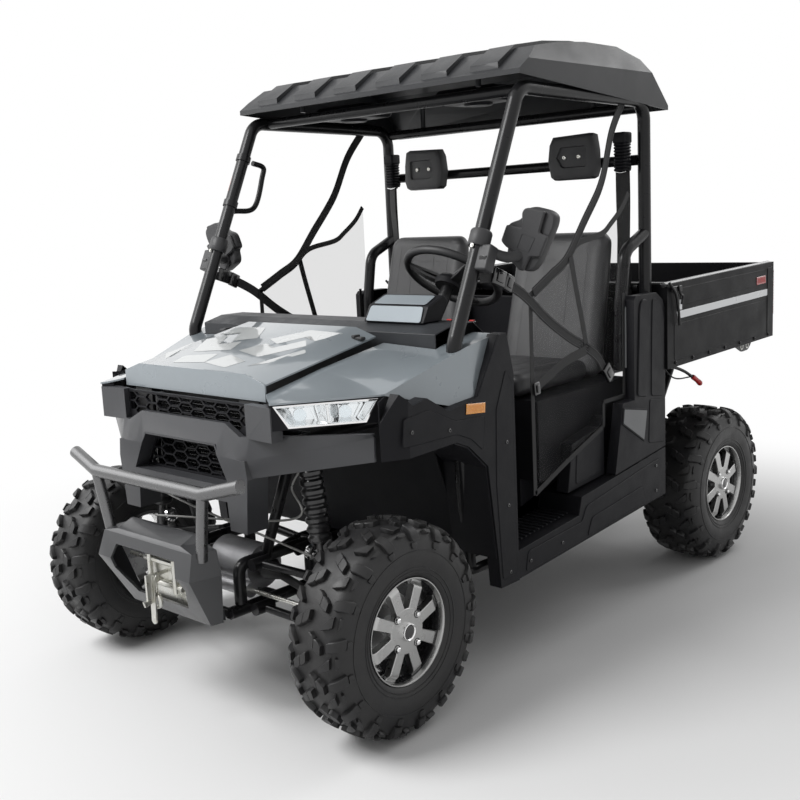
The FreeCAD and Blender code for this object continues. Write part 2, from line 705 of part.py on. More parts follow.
def shocks(label, pinHalf, axle, lead, headTop):
    # A damper in its coil spring, turned about its own length and leaned into place.
    foot = shockFoot(pinHalf, axle, lead)
    head = shockHead(axle, lead, headTop)
    length = (head - foot).Length
    eye = number(size.pivot_sleeve)
    low = length * 0.22
    high = length * 0.88
    spring = number(size.spring_radius)
    wire = number(size.spring_wire)
    turns = int(size.spring_turns.value)
    outline = [(0, 0), (eye, 0), (eye, low * 0.3), (eye * 0.8, low * 0.5), (eye * 0.8, low)]
    pitch = (high - low) / turns
    for index in range(turns):
        start = low + index * pitch
        outline += [(spring - wire, start), (spring, start + pitch * 0.25), (spring, start + pitch * 0.6),
                    (spring - wire, start + pitch * 0.85)]
    outline += [(spring - wire, high), (eye, high), (eye, length), (0, length)]
    corners = [vector(across, 0, up) for across, up in outline]
    face = Part.Face(Part.makePolygon(corners + corners[:1]))
    made = doc.addObject("Part::Feature", f"{label}_left")
    made.Shape = face.revolve(vector(), vector(0, 0, 1), 360)
    made.Placement = FreeCAD.Placement(foot, FreeCAD.Rotation(vector(0, 0, 1), head - foot))
    return keep(label, bothSides(label, made))


def gearcaseHeight():
    return size.rail_height + size.cross_radius + size.gearcase_radius + size.fit_gap


def halfShafts(label, pinHalf, axle):
    # A shaft between two boots, sloping from the gearcase down to the knuckle.
    inner = point(size.gearcase_half + size.running_gap * 2, station(axle), gearcaseHeight())
    outer = point(pinHalf - size.knuckle_half_depth - size.boot_radius, station(axle), size.tyre_radius)
    thick = number(size.boot_radius)
    shaft = number(size.shaft_radius)
    length = (outer - inner).Length
    outline = [(0, 0), (thick * 0.9, 0), (thick, thick * 0.5), (shaft, thick * 2),
               (shaft, length - thick * 2),
               (thick, length - thick * 0.5), (thick * 0.9, length), (0, length)]
    corners = [vector(across, 0, up) for across, up in outline]
    face = Part.Face(Part.makePolygon(corners + corners[:1]))
    turnedShape = face.revolve(vector(), vector(0, 0, 1), 360)
    turnedShape.Placement = FreeCAD.Placement(inner, FreeCAD.Rotation(vector(0, 0, 1), outer - inner))
    flange = cylinderBetween(inner, point(size.gearcase_half + size.fit_gap, station(axle),
                                          gearcaseHeight()),
                             shaft * 1.5)
    made = doc.addObject("Part::Feature", f"{label}_left")
    made.Shape = turnedShape.fuse(flange)
    return bothSides(label, made)


def gearcase(label, axle, front, rear):
    made = body(label)
    middle = station(axle)
    half = size.gearcase_half
    pad(made, "YZ", -half, half, circles=[(middle, gearcaseHeight(), size.gearcase_radius)])
    pad(made, "XZ", middle - front, middle + rear, circles=[(0, gearcaseHeight(), size.boot_radius)])
    return made


def suspension():
    rearAxle = size.wheelbase
    arms("front_arms", size.kingpin_half, 0, -1, size.tower_top)
    arms("rear_arms", size.rear_pin_half, rearAxle, 1, size.bed_rail_height)
    shocks("front_shocks", size.kingpin_half, 0, -1, size.tower_top)
    shocks("rear_shocks", size.rear_pin_half, rearAxle, 1, size.bed_rail_height)
    keep("half_shafts", together("half_shafts", halfShafts("front_half_shafts", size.kingpin_half, 0),
                                 halfShafts("rear_half_shafts", size.rear_pin_half, rearAxle)))
    keep("gearcases", together("gearcases", gearcase("front_gearcase", 0, 0, size.snout_length),
                               gearcase("rear_gearcase", rearAxle, size.snout_length, 0)))
    rack()


# ------------------------------------------------------------------ frames
def sillTubeHeight():
    return size.floor_height - size.panel - size.cross_radius - size.fit_gap


def armRails(axle):
    # the short rails that carry the upper arms' pivots, with an upright at each end
    runs = []
    for side in (1, -1):
        across = size.rail_nose_half * side
        front = station(axle) - armRailReach()
        rear = station(axle) + armRailReach()
        foot = size.rail_height + size.rail_radius + size.fit_gap
        runs.append(([(across, front, foot), (across, front, size.arm_high_root),
                      (across, rear, size.arm_high_root),
                      (across, rear, foot)], size.rail_radius, size.sill_bend))
    return runs


def frames():
    height = size.rail_height
    radius = size.rail_radius
    runs = []
    noseY = station(size.rail_front)
    tailY = tail(size.rail_rear)
    waistFront = noseY + size.rail_taper
    waistRear = tail(size.rail_waist_rear)
    for side in (1, -1):
        nose = size.rail_nose_half * side
        wide = size.rail_half * side
        rail = [(nose, noseY, height), (nose, waistFront, height),
                (wide, waistFront + size.rail_taper, height),
                (wide, waistRear, height), (nose, waistRear + size.rail_taper, height), (nose, tailY,
                                                                                         height)]
        runs.append((rail, radius, size.cage_bend))
        outer = size.sill_tube_half * side
        front = station(size.sill_tube_front)
        rear = station(size.sill_tube_rear)
        sillTube = [(0, front, height), (wide, front, height), (outer, front, sillTubeHeight()),
                    (outer, rear, sillTubeHeight()), (wide, rear, height), (0, rear, height)]
        runs.append((sillTube, size.cross_radius, size.sill_bend))
    half = size.rail_nose_half
    for across in (station(size.rail_front), station(0), station(size.wheelbase), tail(size.rail_rear)):
        runs.append(([(-half, across, height), (half, across, height)], size.cross_radius, 1))
    keep("chassis_frame", tubes("chassis_frame", runs))

    uprights = armRails(0)
    base = size.arm_high_root
    for side in (1, -1):
        tower = [(size.rail_nose_half * side, station(size.tower_front), base),
                 (size.tower_half * side, station(size.tower_front), size.tower_top),
                 (size.tower_half * side, station(size.tower_rear), size.tower_top)]
        uprights.append((tower, size.cross_radius + 1, size.sill_bend))
        head = shockHead(0, -1, size.tower_top - size.running_gap * 2)
        uprights.append(([((size.tower_half - radius) * side, head.y, head.z),
                          ((size.tower_half + radius) * side, head.y, head.z)], size.bed_pin, 1))
    for place in (size.tower_front + size.cage_bend, size.tower_rear - radius):
        uprights.append(([(-size.tower_half, station(place), size.tower_top),
                          (size.tower_half, station(place), size.tower_top)], size.cross_radius, 1))
    pinHalf = size.hood_pin_half
    pinY = station(size.hood_pin_station)
    uprights.append(([(-pinHalf, pinY, size.hood_pin_height), (pinHalf, pinY, size.hood_pin_height)],
                     size.hinge_pin, 1))
    front = tubes("front_tubes", uprights)
    brackets = []
    foot = station(size.tower_front) + size.cage_bend
    for side in (1, -1):
        ends = (pinHalf - size.lug_thick, pinHalf) if side > 0 else (-pinHalf, -pinHalf + size.lug_thick)
        brackets.append(prism(f"pin_bracket_{side + 1}", "YZ", *ends,
                              loops=[[(foot - radius, size.tower_top), (foot + radius, size.tower_top),
                                      (pinY + size.hinge_pin * 2, size.hood_pin_height + size.hinge_pin),
                                      (pinY - size.hinge_pin, size.hood_pin_height + size.hinge_pin)]]))
    keep("front_frame", fuse("front_frame", front, *brackets))

    supports = armRails(size.wheelbase)
    lift = radius + size.fit_gap
    top = size.bed_rail_height
    for side in (1, -1):
        frontTop = (size.tower_half * side, tail(size.bed_rail_front), top)
        rearTop = (size.tower_half * side, tail(size.bed_rail_rear), top)
        rail = [toward((size.rail_half * side, tail(size.bed_rail_front), height), frontTop, lift),
                frontTop, rearTop,
                toward((size.rail_nose_half * side, tail(size.bed_rail_rear), height), rearTop, lift)]
        supports.append((rail, radius, size.cage_bend))
        supports.append(([(size.rail_nose_half * side, station(size.wheelbase), size.arm_high_root),
                          (size.tower_half * side, station(size.wheelbase), top)], size.cross_radius, 1))
        pin = [(size.tower_half * side, tail(size.bed_hinge), top),
               ((size.tower_half + radius + size.running_gap * 3) * side, tail(size.bed_hinge), top)]
        supports.append((pin, size.bed_pin, 1))
        restY = tail(size.bed_rail_front) + size.cage_bend + radius
        rest = [(size.rail_half * side, restY, top), (size.rail_half * side, restY,
                                                      size.bed_low - size.fit_gap)]
        supports.append((rest, size.bed_pad, 1))
    for place in (size.bed_rail_front + size.cage_bend + radius,
                  size.bed_rail_rear - size.cage_bend - radius):
        supports.append(([(-size.tower_half, tail(place), top), (size.tower_half, tail(place), top)],
                         size.cross_radius, 1))
    keep("rear_frame", tubes("rear_frame", supports))

    under = height - radius - size.fit_gap
    skid = prism("skid_plate", "XY", under - size.skid_thick, under,
                 [rectangle(-size.skid_half, waistFront + size.rail_taper, size.skid_half, waistRear)])
    soften(skid, size.cage_bend / 2, upright)
    keep("skid_plate", skid)


def engineBay():
    block = body("engine")
    low = size.rail_height + size.rail_radius + size.fit_gap
    shoulder = (size.engine_rear - size.engine_front) / 3
    pad(block, "YZ", -size.engine_half, size.engine_half,
        [[(tail(size.engine_front), low), (tail(size.engine_rear), low),
          (tail(size.engine_rear), size.engine_high - shoulder),
          (tail(size.engine_rear) - shoulder, size.engine_high), (tail(size.engine_front),
                                                                  size.engine_high)]])
    keep("engine", block)
    rest = size.arm_high_root + size.rail_radius + size.fit_gap
    muffler = prism("muffler", "YZ", -size.muffler_half, size.muffler_half,
                    circles=[(tail(size.muffler_station), rest + size.muffler_radius, size.muffler_radius)])
    keep("muffler", muffler)


# ------------------------------------------------------------------ cab tub
def cabTub():
    half = size.floor_half
    fold = [(station(size.dash_front), size.firewall_top), (station(size.toe_front), size.toe_height),
            (station(size.floor_front), size.floor_height), (station(size.seat_box_rear),
                                                             size.floor_height)]
    keep("floor_pan", bentSheet("floor_pan", "YZ", fold, size.panel, -half, half))
    box = body("seat_box")
    front = station(size.floor_rear)
    rear = station(size.seat_box_rear)
    floor = size.floor_height + size.fit_gap
    shelf = size.sill_top_rear + size.fit_gap
    pad(box, "XZ", front, rear, [sided([(half, floor), (half, shelf), (size.seat_box_half, shelf),
                                        (size.seat_box_half, size.seat_box_top)])])
    pocket(box, "XZ", front + size.panel, rear - size.panel,
           [sided([(half - size.panel, floor - 1), (half - size.panel, shelf + size.panel),
                   (size.seat_box_half - size.panel, shelf + size.panel),
                   (size.seat_box_half - size.panel, size.seat_box_top - size.panel)])])
    keep("seat_box", box)
    back = rear + size.panel + size.fit_gap
    wall = [(back, floor), (back, size.bulkhead_top), (back + size.running_gap * 5, size.bulkhead_top)]
    keep("rear_bulkhead", bentSheet("rear_bulkhead", "YZ", wall, -size.panel, -half, half))


def sill():
    # The door sill cover: a stepped cheek with its foot tucked under the sill tube.
    made = body("left_sill")
    front = station(size.sill_front)
    rear = station(size.sill_rear)
    top = [(rear, size.sill_top_rear), (station(size.sill_riser), size.sill_shelf),
           (station(size.sill_step), size.sill_top_middle), (front, size.sill_top_front)]
    inside = size.floor_half + size.fit_gap
    pad(made, "YZ", inside, bodyHalf, [[(front, size.sill_bottom), (rear, size.sill_tail_low)] + top])
    drop = size.panel
    lining = [(across + (drop if index == 0 else 0), up - drop) for index, (across, up) in enumerate(top)]
    lining[-1] = (front - drop, size.sill_top_front - drop)
    pocket(made, "YZ", inside - drop, bodyHalf - drop,
           [[(front - drop, size.sill_bottom - drop), (rear + drop, size.sill_bottom - drop)] + lining])
    keep("sills", bothSides("sills", cut("left_sill_bored", made, postBore(1))))


def quarterPanels():
    rear = station(size.quarter_rear)
    lift = size.fit_gap
    slope = (size.sill_top_rear - size.sill_shelf) / (size.sill_rear - size.sill_riser)
    footFront = size.sill_shelf + slope * (size.quarter_foot_front - size.sill_riser) + size.running_gap
    inside = cageHalf + size.guard_radius + lift
    tuck = size.quarter_tuck
    outline = [(rear, size.sill_top_rear + size.running_gap), (rear, size.quarter_high - tuck * 2),
               (rear - tuck / 2, size.quarter_high - tuck), (rear - tuck * 2, size.quarter_high),
               (station(size.quarter_front) + tuck / 2, size.quarter_high),
               (station(size.quarter_front), size.quarter_high - tuck / 2),
               (station(size.quarter_front), size.quarter_shelf),
               (station(size.quarter_shelf_front), size.quarter_shelf),
               (station(size.quarter_foot_front), footFront)]
    shell = tray("left_quarter_shell", outline, inside, bodyHalf, size.panel)
    patch = prism("left_patch", "YZ", bodyHalf, bodyHalf + size.patch_thick,
                  [[(station(row["at"]), row["height"]) for row in table("patch")]])
    made = cut("left_quarter_panel", fuse("left_quarter_shape", shell, patch), postBore(1))
    keep("quarter_panels", bothSides("quarter_panels", made))
    near = station(size.cheek_front)
    far = station(size.quarter_foot_front) - size.running_gap
    knee = size.cheek_knee
    base = size.sill_shelf + size.running_gap * 2
    cheek = tray("left_seat_cheek", [(near, base), (far, footFront), (far, size.cheek_high - tuck),
                                     (far - tuck, knee + tuck),
                                     (near + tuck, knee)],
                 size.seat_box_half + lift, size.seat_box_half + size.cheek_depth, size.panel)
    keep("seat_cheeks", bothSides("seat_cheeks", cheek))


# ------------------------------------------------------------------ seats
def seats():
    lean = size.back_lean
    low = size.seat_box_top + size.fit_gap
    rear = station(size.cushion_rear)
    foot = rear + size.fit_gap
    front = station(size.cushion_front)
    left = size.seat_centre - size.seat_half
    right = size.seat_centre + size.seat_half
    cushion = prism("driver_cushion", "YZ", left, right,
                    [[(front + size.seat_edge, low), (rear, low), (rear, size.cushion_high - size.seat_edge),
                      (front + size.seat_edge, size.cushion_high),
                      (front, size.cushion_high - size.seat_edge)]])
    keep("seat_cushions", bothSides("seat_cushions", cushion))
    back = prism("driver_backrest", "YZ", left, right,
                 [[(foot, low), (foot + size.back_depth, low),
                   (foot + size.back_depth * 0.75 + lean * 0.8, size.back_high - size.seat_edge / 2),
                   (foot + lean, size.back_high), (foot, size.cushion_high - size.seat_edge)]])
    keep("backrests", bothSides("backrests", back))
    rest = body("headrests")
    bar = station(size.post_station) - size.bar_radius - size.fit_gap
    for side in (1, -1):
        middle = size.headrest_across * side
        low = size.headrest_bar_height - size.headrest_drop
        high = size.headrest_bar_height + size.headrest_rise
        pad(rest, "YZ", middle - size.headrest_half, middle + size.headrest_half,
            [[(bar - size.headrest_depth, low), (bar, low), (bar, high),
              (bar - size.headrest_depth * 0.8, high)]])
    keep("headrests", rest)


# ------------------------------------------------------------------ dash and steering
def cotangent(angle):
    return Size(1 / math.tan(math.radians(angle.value)), f"(1 / tan({angle.text}))")


def dash():
    # The face behind the wheel is square to the steering column.
    front = station(size.dash_front)
    face = station(size.dash_face)
    rear = station(size.dash_rear)
    half = size.dash_half
    chin = size.dash_top - (rear - face) * cotangent(size.column_elevation)
    edge = size.dash_edge
    fold = [(front, size.firewall_top + edge), (front, size.dash_top - edge), (front + edge * 4, size.dash_top),
            (face, size.dash_top), (rear, chin), (rear - size.dash_chin, chin - size.dash_chin * 3),
            (rear - size.dash_tuck, size.dash_low)]
    keep("dashboard", bentSheet("dashboard", "YZ", fold, size.panel, -half, half))
    low = size.dash_top + size.fit_gap
    near = station(size.pod_front)
    far = station(size.pod_rear)
    pod = prism("instrument_pod", "YZ", size.wheel_x - size.pod_half, size.wheel_x + size.pod_half,
                [[(near, low), (far - edge * 2, low), (far, size.pod_top - edge), (far - edge, size.pod_top),
                  (near + edge * 1.5, size.pod_top - edge * 1.5)]])
    keep("instrument_pod", pod)


def steering():
    elevation = math.radians(number(size.column_elevation))
    axis = vector(0, math.cos(elevation), math.sin(elevation))
    centre = point(size.wheel_x, station(size.wheel_station), size.wheel_height)
    turn = FreeCAD.Rotation(vector(0, 0, 1), axis)
    grip = number(size.wheel_rim)
    radius = number(size.wheel_radius) - grip
    ring = Part.makeTorus(radius, grip)
    drop = number(size.boss_drop)
    boss = Part.makeCylinder(number(size.hub_radius), drop - number(size.wheel_plate), vector(0, 0, -drop))
    spokes = []
    wide = number(size.wheel_arm)
    for angle in (90, 210, 330):
        arm = Part.makeBox(radius, wide, number(size.wheel_plate), vector(0, -wide / 2, -drop / 2))
        arm.rotate(vector(), vector(0, 1, 0), -5)
        arm.rotate(vector(), vector(0, 0, 1), angle)
        spokes.append(arm)
    made = doc.addObject("Part::Feature", "steering_wheel")
    made.Shape = ring.fuse([boss] + spokes)
    made.Placement = FreeCAD.Placement(centre, turn)
    keep("steering_wheel", made)
    corner = point(size.wheel_x, station(size.dash_face), size.dash_top)
    reach = (centre - corner).dot(axis) - number(size.fit_gap)
    length = reach - drop - number(size.fit_gap)
    column = doc.addObject("Part::Feature", "steering_column")
    column.Shape = Part.makeCylinder(number(size.column_radius), length, vector(0, 0, -reach))
    column.Placement = FreeCAD.Placement(centre, turn)
    keep("steering_column", column)


# ------------------------------------------------------------------ cage and roof
def cageFoot():
    return sillTubeHeight() + size.cross_radius + size.fit_gap


def pillarRoute(side):
    # one front pillar, from the sill tube to the roof
    return [(size.cage_foot_half * side, station(size.sill_tube_front) + size.sill_bend / 3, cageFoot()),
            (cageHalf * side, station(size.pillar_base), size.pillar_base_height),
            (cageHalf * side, station(size.pillar_top), size.cage_top_front)]


def pillarBores(clearance):
    return [tubes(f"pillar_bore_{side + 1}", [(pillarRoute(side), size.cage_radius + clearance,
                                               size.cage_bend)])
            for side in (1, -1)]


def postRoute(side):
    # one rear post, from the roof down to the sill tube
    return [(cageHalf * side, station(size.post_station), size.cage_top_rear),
            (cageHalf * side, station(size.post_station), size.post_knee),
            (size.cage_foot_half * side, station(size.sill_tube_rear) - size.sill_bend / 3, cageFoot())]


def postBore(side):
    return tubes(f"post_bore_{side + 1}", [(postRoute(side), size.cage_radius + size.fit_gap,
                                            size.cage_bend)])


def cage():
    halfTop = cageHalf
    hoop = pillarRoute(1) + postRoute(1)
    join = station(size.post_station)
    guard = [(halfTop, join, size.guard_join), (halfTop, station(size.guard_front) + size.guard_lean, size.guard_top),
             (halfTop, station(size.guard_front), size.bulkhead_top),
             (halfTop, station(size.guard_front) - size.guard_lean / 3, size.guard_foot)]
    side = tubes("left_cage_side", [(hoop, size.cage_radius, size.cage_bend),
                                    (guard, size.guard_radius, size.cage_bend)])
    keep("left_cage_side", side)
    keep("right_cage_side", mirrored("right_cage_side", side))
    bars = []
    reach = halfTop - size.cage_radius - size.fit_gap
    for place, height in frontAndRearBars() + ((size.post_station, size.headrest_bar_height),
                                               (size.post_station, size.belt_bar_height)):
        bars.append(rod(f"bar_{len(bars)}", (-reach, station(place), height),
                        (reach, station(place), height),
                        size.bar_radius))
    dashBar = station(size.dash_front) + size.panel + size.fit_gap + size.bar_radius
    bars.append(cut("dash_bar", rod("dash_rod", (-halfTop, dashBar, size.dash_bar_height),
                                    (halfTop, dashBar, size.dash_bar_height), size.bar_radius),
                    *pillarBores(size.fit_gap)))
    keep("cage_crossbars", together("cage_crossbars", *bars))


def roofOutline(inset, below):
    # Side view of the roof, its skin moved in by the inset and its open underside carried down.
    drop = sized(inset)
    front = station(size.roof_front)
    rear = station(size.roof_rear)
    brow = [(front + row["from_front"], size.roof_high - row["drop"] - drop) for row in table("brow")]
    back = [(rear - row["from_rear"], size.roof_high - row["drop"] - drop) for row in table("back")]
    return ([(front + drop, size.roof_lip - below), (front + drop, size.roof_lip + size.roof_edge - drop)] + brow
            + back + [(rear - drop, size.roof_tail + size.roof_edge), (rear - drop, size.roof_tail - below)])


def roofSection(inset):
    drop = sized(inset)
    return sided([(roofHalf - drop, size.roof_tail - size.roof_edge * 4),
                  (roofHalf - drop, size.roof_high - size.roof_edge * 5),
                  (size.roof_top_half - drop, size.roof_high + size.roof_edge * 2.5)])


def roof():
    shells = []
    for name, inset, below in (("outer", sized(0), 0), ("inner", size.roof_wall, size.roof_wall),
                               ("ribbed", -size.roof_rib, 0)):
        side = prism(f"roof_side_{name}", "YZ", -roofHalf, roofHalf, [roofOutline(inset, below)])
        section = prism(f"roof_section_{name}", "XZ", station(size.roof_front) - 1,
                        station(size.roof_rear) + 1,
                        [roofSection(inset)])
        shells.append(common(f"roof_{name}", side, section))
    outer, inner, ribbed = shells
    ribs = []
    bevel = size.roof_rib_chamfer
    half = size.roof_rib_half
    for index in range(int(size.roof_ribs.value)):
        middle = size.roof_rib_pitch * (index - (size.roof_ribs - 1) / 2)
        ribs.append(prism(f"roof_rib_{index}", "XZ", station(size.roof_front) + size.roof_rib_chamfer,
                          station(size.roof_rear) - size.roof_rib_chamfer,
                          [[(middle - half, size.roof_tail), (middle + half, size.roof_tail),
                            (middle + half - bevel, size.roof_high + size.roof_rib),
                            (middle - half + bevel, size.roof_high + size.roof_rib)]]))
    raised = common("roof_raised", ribbed, fuse("roof_rib_set", *ribs))
    skin = cut("roof_skin", fuse("roof_full", outer, raised), inner)
    bosses = []
    for place, height in frontAndRearBars():
        for across in (-size.roof_boss_half, size.roof_boss_half):
            low = height + size.bar_radius + size.fit_gap
            bosses.append(rod(f"roof_boss_{len(bosses)}", (across, station(place), low),
                              (across, station(place), size.roof_high - size.roof_wall * 1.5), size.bar_radius / 2))
    trimmed = [common(f"{boss.Label}_trim", boss, outer) for boss in bosses]
    keep("roof", fuse("roof_shell", skin, *trimmed))


def frontAndRearBars():
    return ((size.pillar_top + size.cage_bend, size.cage_top_front),
            (size.post_station, size.cage_top_rear - size.bar_radius))


# ------------------------------------------------------------------ front bodywork
def hoodSection(rise, edge):
    # a flat crown with its two edges chamfered down, one panel thick
    thick = size.panel
    top = [(hoodHalf, edge), (size.hood_flat_half, edge + rise)]
    under = [(size.hood_flat_half, edge + rise - thick), (hoodHalf, edge - thick)]
    return sided(top) + [(-across, up) for across, up in reversed(under)] + under


def hood():
    made = body("hood")
    front = station(size.hood_front)
    loft(made, "XZ", [(front, hoodSection(size.hood_crown, size.hood_front_edge)),
                      (station(size.hood_rear), hoodSection(size.hood_crown, size.hood_rear_edge))])
    lip = [(hoodHalf, size.hood_lip), (hoodHalf, size.hood_front_edge),
           (size.hood_flat_half, size.hood_front_edge + size.hood_crown)]
    pad(made, "XZ", front - size.panel, front, [sided(lip)])
    pinY = station(size.hood_pin_station)
    reach = size.hinge_pin * 2
    lugOut = size.hood_pin_half - size.lug_thick - size.fit_gap
    for side in (1, -1):
        ends = (lugOut - size.lug_thick, lugOut) if side > 0 else (-lugOut, -lugOut + size.lug_thick)
        pad(made, "YZ", *ends, loops=[[(pinY - reach, size.hood_pin_height - reach),
                                       (pinY + reach, size.hood_pin_height - reach),
                                       (pinY + reach * 2, size.hood_front_edge + size.hood_crown),
                                       (pinY - reach, size.hood_front_edge + size.hood_crown)]])
        pocket(made, "YZ", *ends, circles=[(pinY, size.hood_pin_height, size.hinge_pin + size.fit_gap)])
    keep("hood", made)


def wingSection(row):
    # the panel's skin at one station: root, shoulder and waist, and the same three from inside
    thick = size.panel
    root = hoodHalf + size.panel_gap
    shoulder = bodyHalf - row["shoulder_inset"]
    waist = bodyHalf - row["waist_inset"]
    return [(root, row["root"]), (shoulder, row["shoulder"]), (waist, row["waist"]),
            (waist - thick, row["waist"]),
            (shoulder - thick, row["shoulder"] - thick), (root, row["root"] - thick)]


def fender():
    rows = table("wing")
    wing = body("left_wing")
    loft(wing, "XZ", [(station(row["at"]), wingSection(row)) for row in rows])
    root = hoodHalf + size.panel_gap
    nose = station(rows[0]["at"])
    pocket(wing, "XY", size.hood_lip - size.dash_well, size.fender_rear_high,
           [[(root - size.panel, nose - size.panel), (lampInner, nose - size.panel), (lampInner, nose),
             (root - size.panel, station(size.hood_front) - size.panel)]])
    well = station(size.cowl_front) + size.hood_well_gap
    pocket(wing, "YZ", 0, size.dash_half + size.panel_gap,
           [rectangle(well, size.fender_rear_high - size.dash_well, station(rows[-1]["at"]) + 1,
                      size.fender_rear_high + 1)])
    outline = [(station(row["at"]), row["height"]) for row in table("flare")]
    outside = fenderOuter
    inside = outside - size.fender_depth
    shade = prism("flare_shade", "YZ", inside - size.fit_gap, outside, [outline])
    bored = cut("left_wing_bored", wing, pillarBores(size.fit_gap)[0], shade)
    keep("fender_panels", bothSides("fender_panels", bored))

    taper = station(size.fender_taper)
    front = station(size.fender_front)
    rear = station(size.fender_rear)
    low = size.fender_foot
    wall = bentSheet("flare_wall", "XY", [(fenderFrontHalf, front), (outside, taper), (outside, rear)],
                     -size.panel, low, size.fender_rear_high)
    trim = prism("flare_trim", "YZ", inside, outside, [outline])
    plan = prism("flare_plan", "XY", low, size.fender_rear_high,
                 [[(inside, front), (fenderFrontHalf, front), (outside, taper), (outside, rear),
                   (inside, rear)]])
    rim = common("flare_rim", tray("flare_tray", outline, inside, outside, size.panel), plan)
    open_back = cut("flare_open", rim, prism("flare_void", "XY", low, size.fender_rear_high,
                                             [[(outside - size.panel - 1, front), (outside + 1, front),
                                               (outside + 1, rear), (outside - size.panel - 1, rear)]]))
    made = fuse("left_flare", open_back, common("flare_face", wall, trim))
    keep("front_fenders", bothSides("front_fenders", made))

    gap = size.fit_gap
    liner = [(station(row["at"]) - gap, row["height"] - gap) for row in reversed(table("flare")[-5:-1])]
    inside = size.floor_half + size.fit_gap
    panel = bentSheet("liner_left", "YZ", liner, size.panel, inside,
                      fenderOuter - size.panel - size.fit_gap)
    lined = cut("left_liner_bored", panel, pillarBores(size.fit_gap)[0])
    keep("wheel_liners", bothSides("wheel_liners", lined))


def lamps():
    shape = [(lampInner, station(size.lamp_front_inner)), (lampOuter, station(size.lamp_front_outer)),
             (lampOuter - size.lamp_depth, station(size.lamp_front_outer) + size.lamp_edge),
             (lampInner, station(size.lamp_front_inner) + size.lamp_depth)]
    lens = prism("left_headlight", "XY", size.lamp_low, size.lamp_high, [shape])
    keep("headlights", bothSides("headlights", lens))


def cheekSection(row):
    # the cheek's skin at one place across: ledge, crease and foot, and the same from inside
    wall = size.fascia_wall
    ledge = station(row["ledge_at"])
    crease = station(row["crease_at"])
    foot = station(row["foot_at"])
    return [(ledge + size.ledge_depth, row["ledge"]), (ledge, row["ledge"]), (crease, row["crease"]),
            (foot, row["foot"]), (foot + wall, row["foot"]), (crease + wall, row["crease"]),
            (ledge + wall, row["ledge"] - size.panel), (ledge + size.ledge_depth,
                                                        row["ledge"] - size.panel)]


def grilleOutline(margin):
    return sided([(size.grille_low_half + margin, size.grille_low - margin),
                  (size.grille_top_half + margin, size.grille_top + margin)])


def fascia():
    rows = table("cheek")
    cheek = body("left_cheek")
    sections = [(row["across"], cheekSection(row)) for row in rows]
    sections.append((fenderFrontHalf - size.running_gap, cheekSection(table("cheek_end")[0])))
    loft(cheek, "YZ", sections)
    face = station(size.fascia_face)
    back = face + size.leg_depth
    wall = size.fascia_wall
    corner = rows[-1]
    legs = [(corner["across"], corner["crease"]), (corner["across"] + wall, corner["foot"]),
            (size.leg_half, size.leg_low), (size.leg_inner, size.leg_low), (size.leg_inner - wall,
                                                                            size.chin_low)]
    hollow = [(corner["across"] - wall, corner["crease"] + wall), (corner["across"], corner["foot"]),
              (size.leg_half - wall, size.leg_low + wall), (size.leg_inner + wall, size.leg_low + wall),
              (size.leg_inner, size.chin_low + wall)]
    lower = cut("lower_shell", prism("lower_form", "XZ", face, back, [sided(legs)]),
                prism("lower_hollow", "XZ", face + wall, back + 1, [sided(hollow)]))
    funnel = prism("grille_funnel", "XZ", face + wall / 2, face + size.grille_set_back,
                   [grilleOutline(size.panel)])
    block = [(size.slot_half, station(corner["ledge_at"])), (lampInner - size.fit_gap,
                                                             station(size.lamp_front_inner)),
             (lampInner - size.fit_gap, station(rows[0]["ledge_at"]) + size.ledge_depth * 2),
             (size.slot_half, station(rows[0]["ledge_at"]) + size.ledge_depth * 2)]
    cheekBlock = prism("slot_block", "XY", corner["ledge"] - size.panel, size.slot_block_high, [block])
    full = fuse("fascia_full", cheek, mirrored("right_cheek", cheek), lower, funnel, cheekBlock,
                mirrored("slot_block_right", cheekBlock))
    opening = prism("grille_opening", "XZ", face - wall, face + size.grille_set_back + 1,
                    [grilleOutline(0)])
    well = prism("hood_well", "XY", size.hood_lip - size.hood_well_gap * 2, size.hood_rear_edge,
                 [rectangle(-hoodHalf - size.panel_gap, station(size.hood_front) - size.hood_well_gap,
                            hoodHalf + size.panel_gap, station(0))])
    keep("front_fascia", cut("fascia", full, opening, well))


def hexagonMesh(label, outline, border, start, low, halfSpan, rows):
    # A plate pierced by flattened hexagons in staggered columns; the frame round them stays whole.
    half = size.mesh_half_width
    flat = size.mesh_flat_half
    tall = size.mesh_half_height
    pitch = half + flat + size.mesh_bar
    rise = tall * 2 + size.mesh_bar
    columns = int(halfSpan.value / pitch.value) + 1
    end = start + size.grille_depth
    holes = []
    for column in range(-columns, columns + 1):
        middle = pitch * column
        shift = rise / 2 * (column % 2)
        cells = []
        for index in range(rows):
            centre = low + rise * index + shift
            cells.append([(middle - half, centre), (middle - flat, centre - tall),
                          (middle + flat, centre - tall),
                          (middle + half, centre), (middle + flat, centre + tall), (middle - flat,
                                                                                    centre + tall)])
        holes.append(prism(f"{label}_cells_{column + columns}", "XZ", start - 1, end + 1, cells))
    field = common(f"{label}_holes", fuse(f"{label}_field", *holes),
                   prism(f"{label}_window", "XZ", start - 1, end + 1, [border]))
    return cut(label, prism(f"{label}_plate", "XZ", start, end, [outline]), field)


def slotOutline(margin):
    rows = table("cheek")
    return sided([(size.slot_half - margin, size.slot_low + margin),
                  (size.slot_half - margin, size.slot_high - margin)])


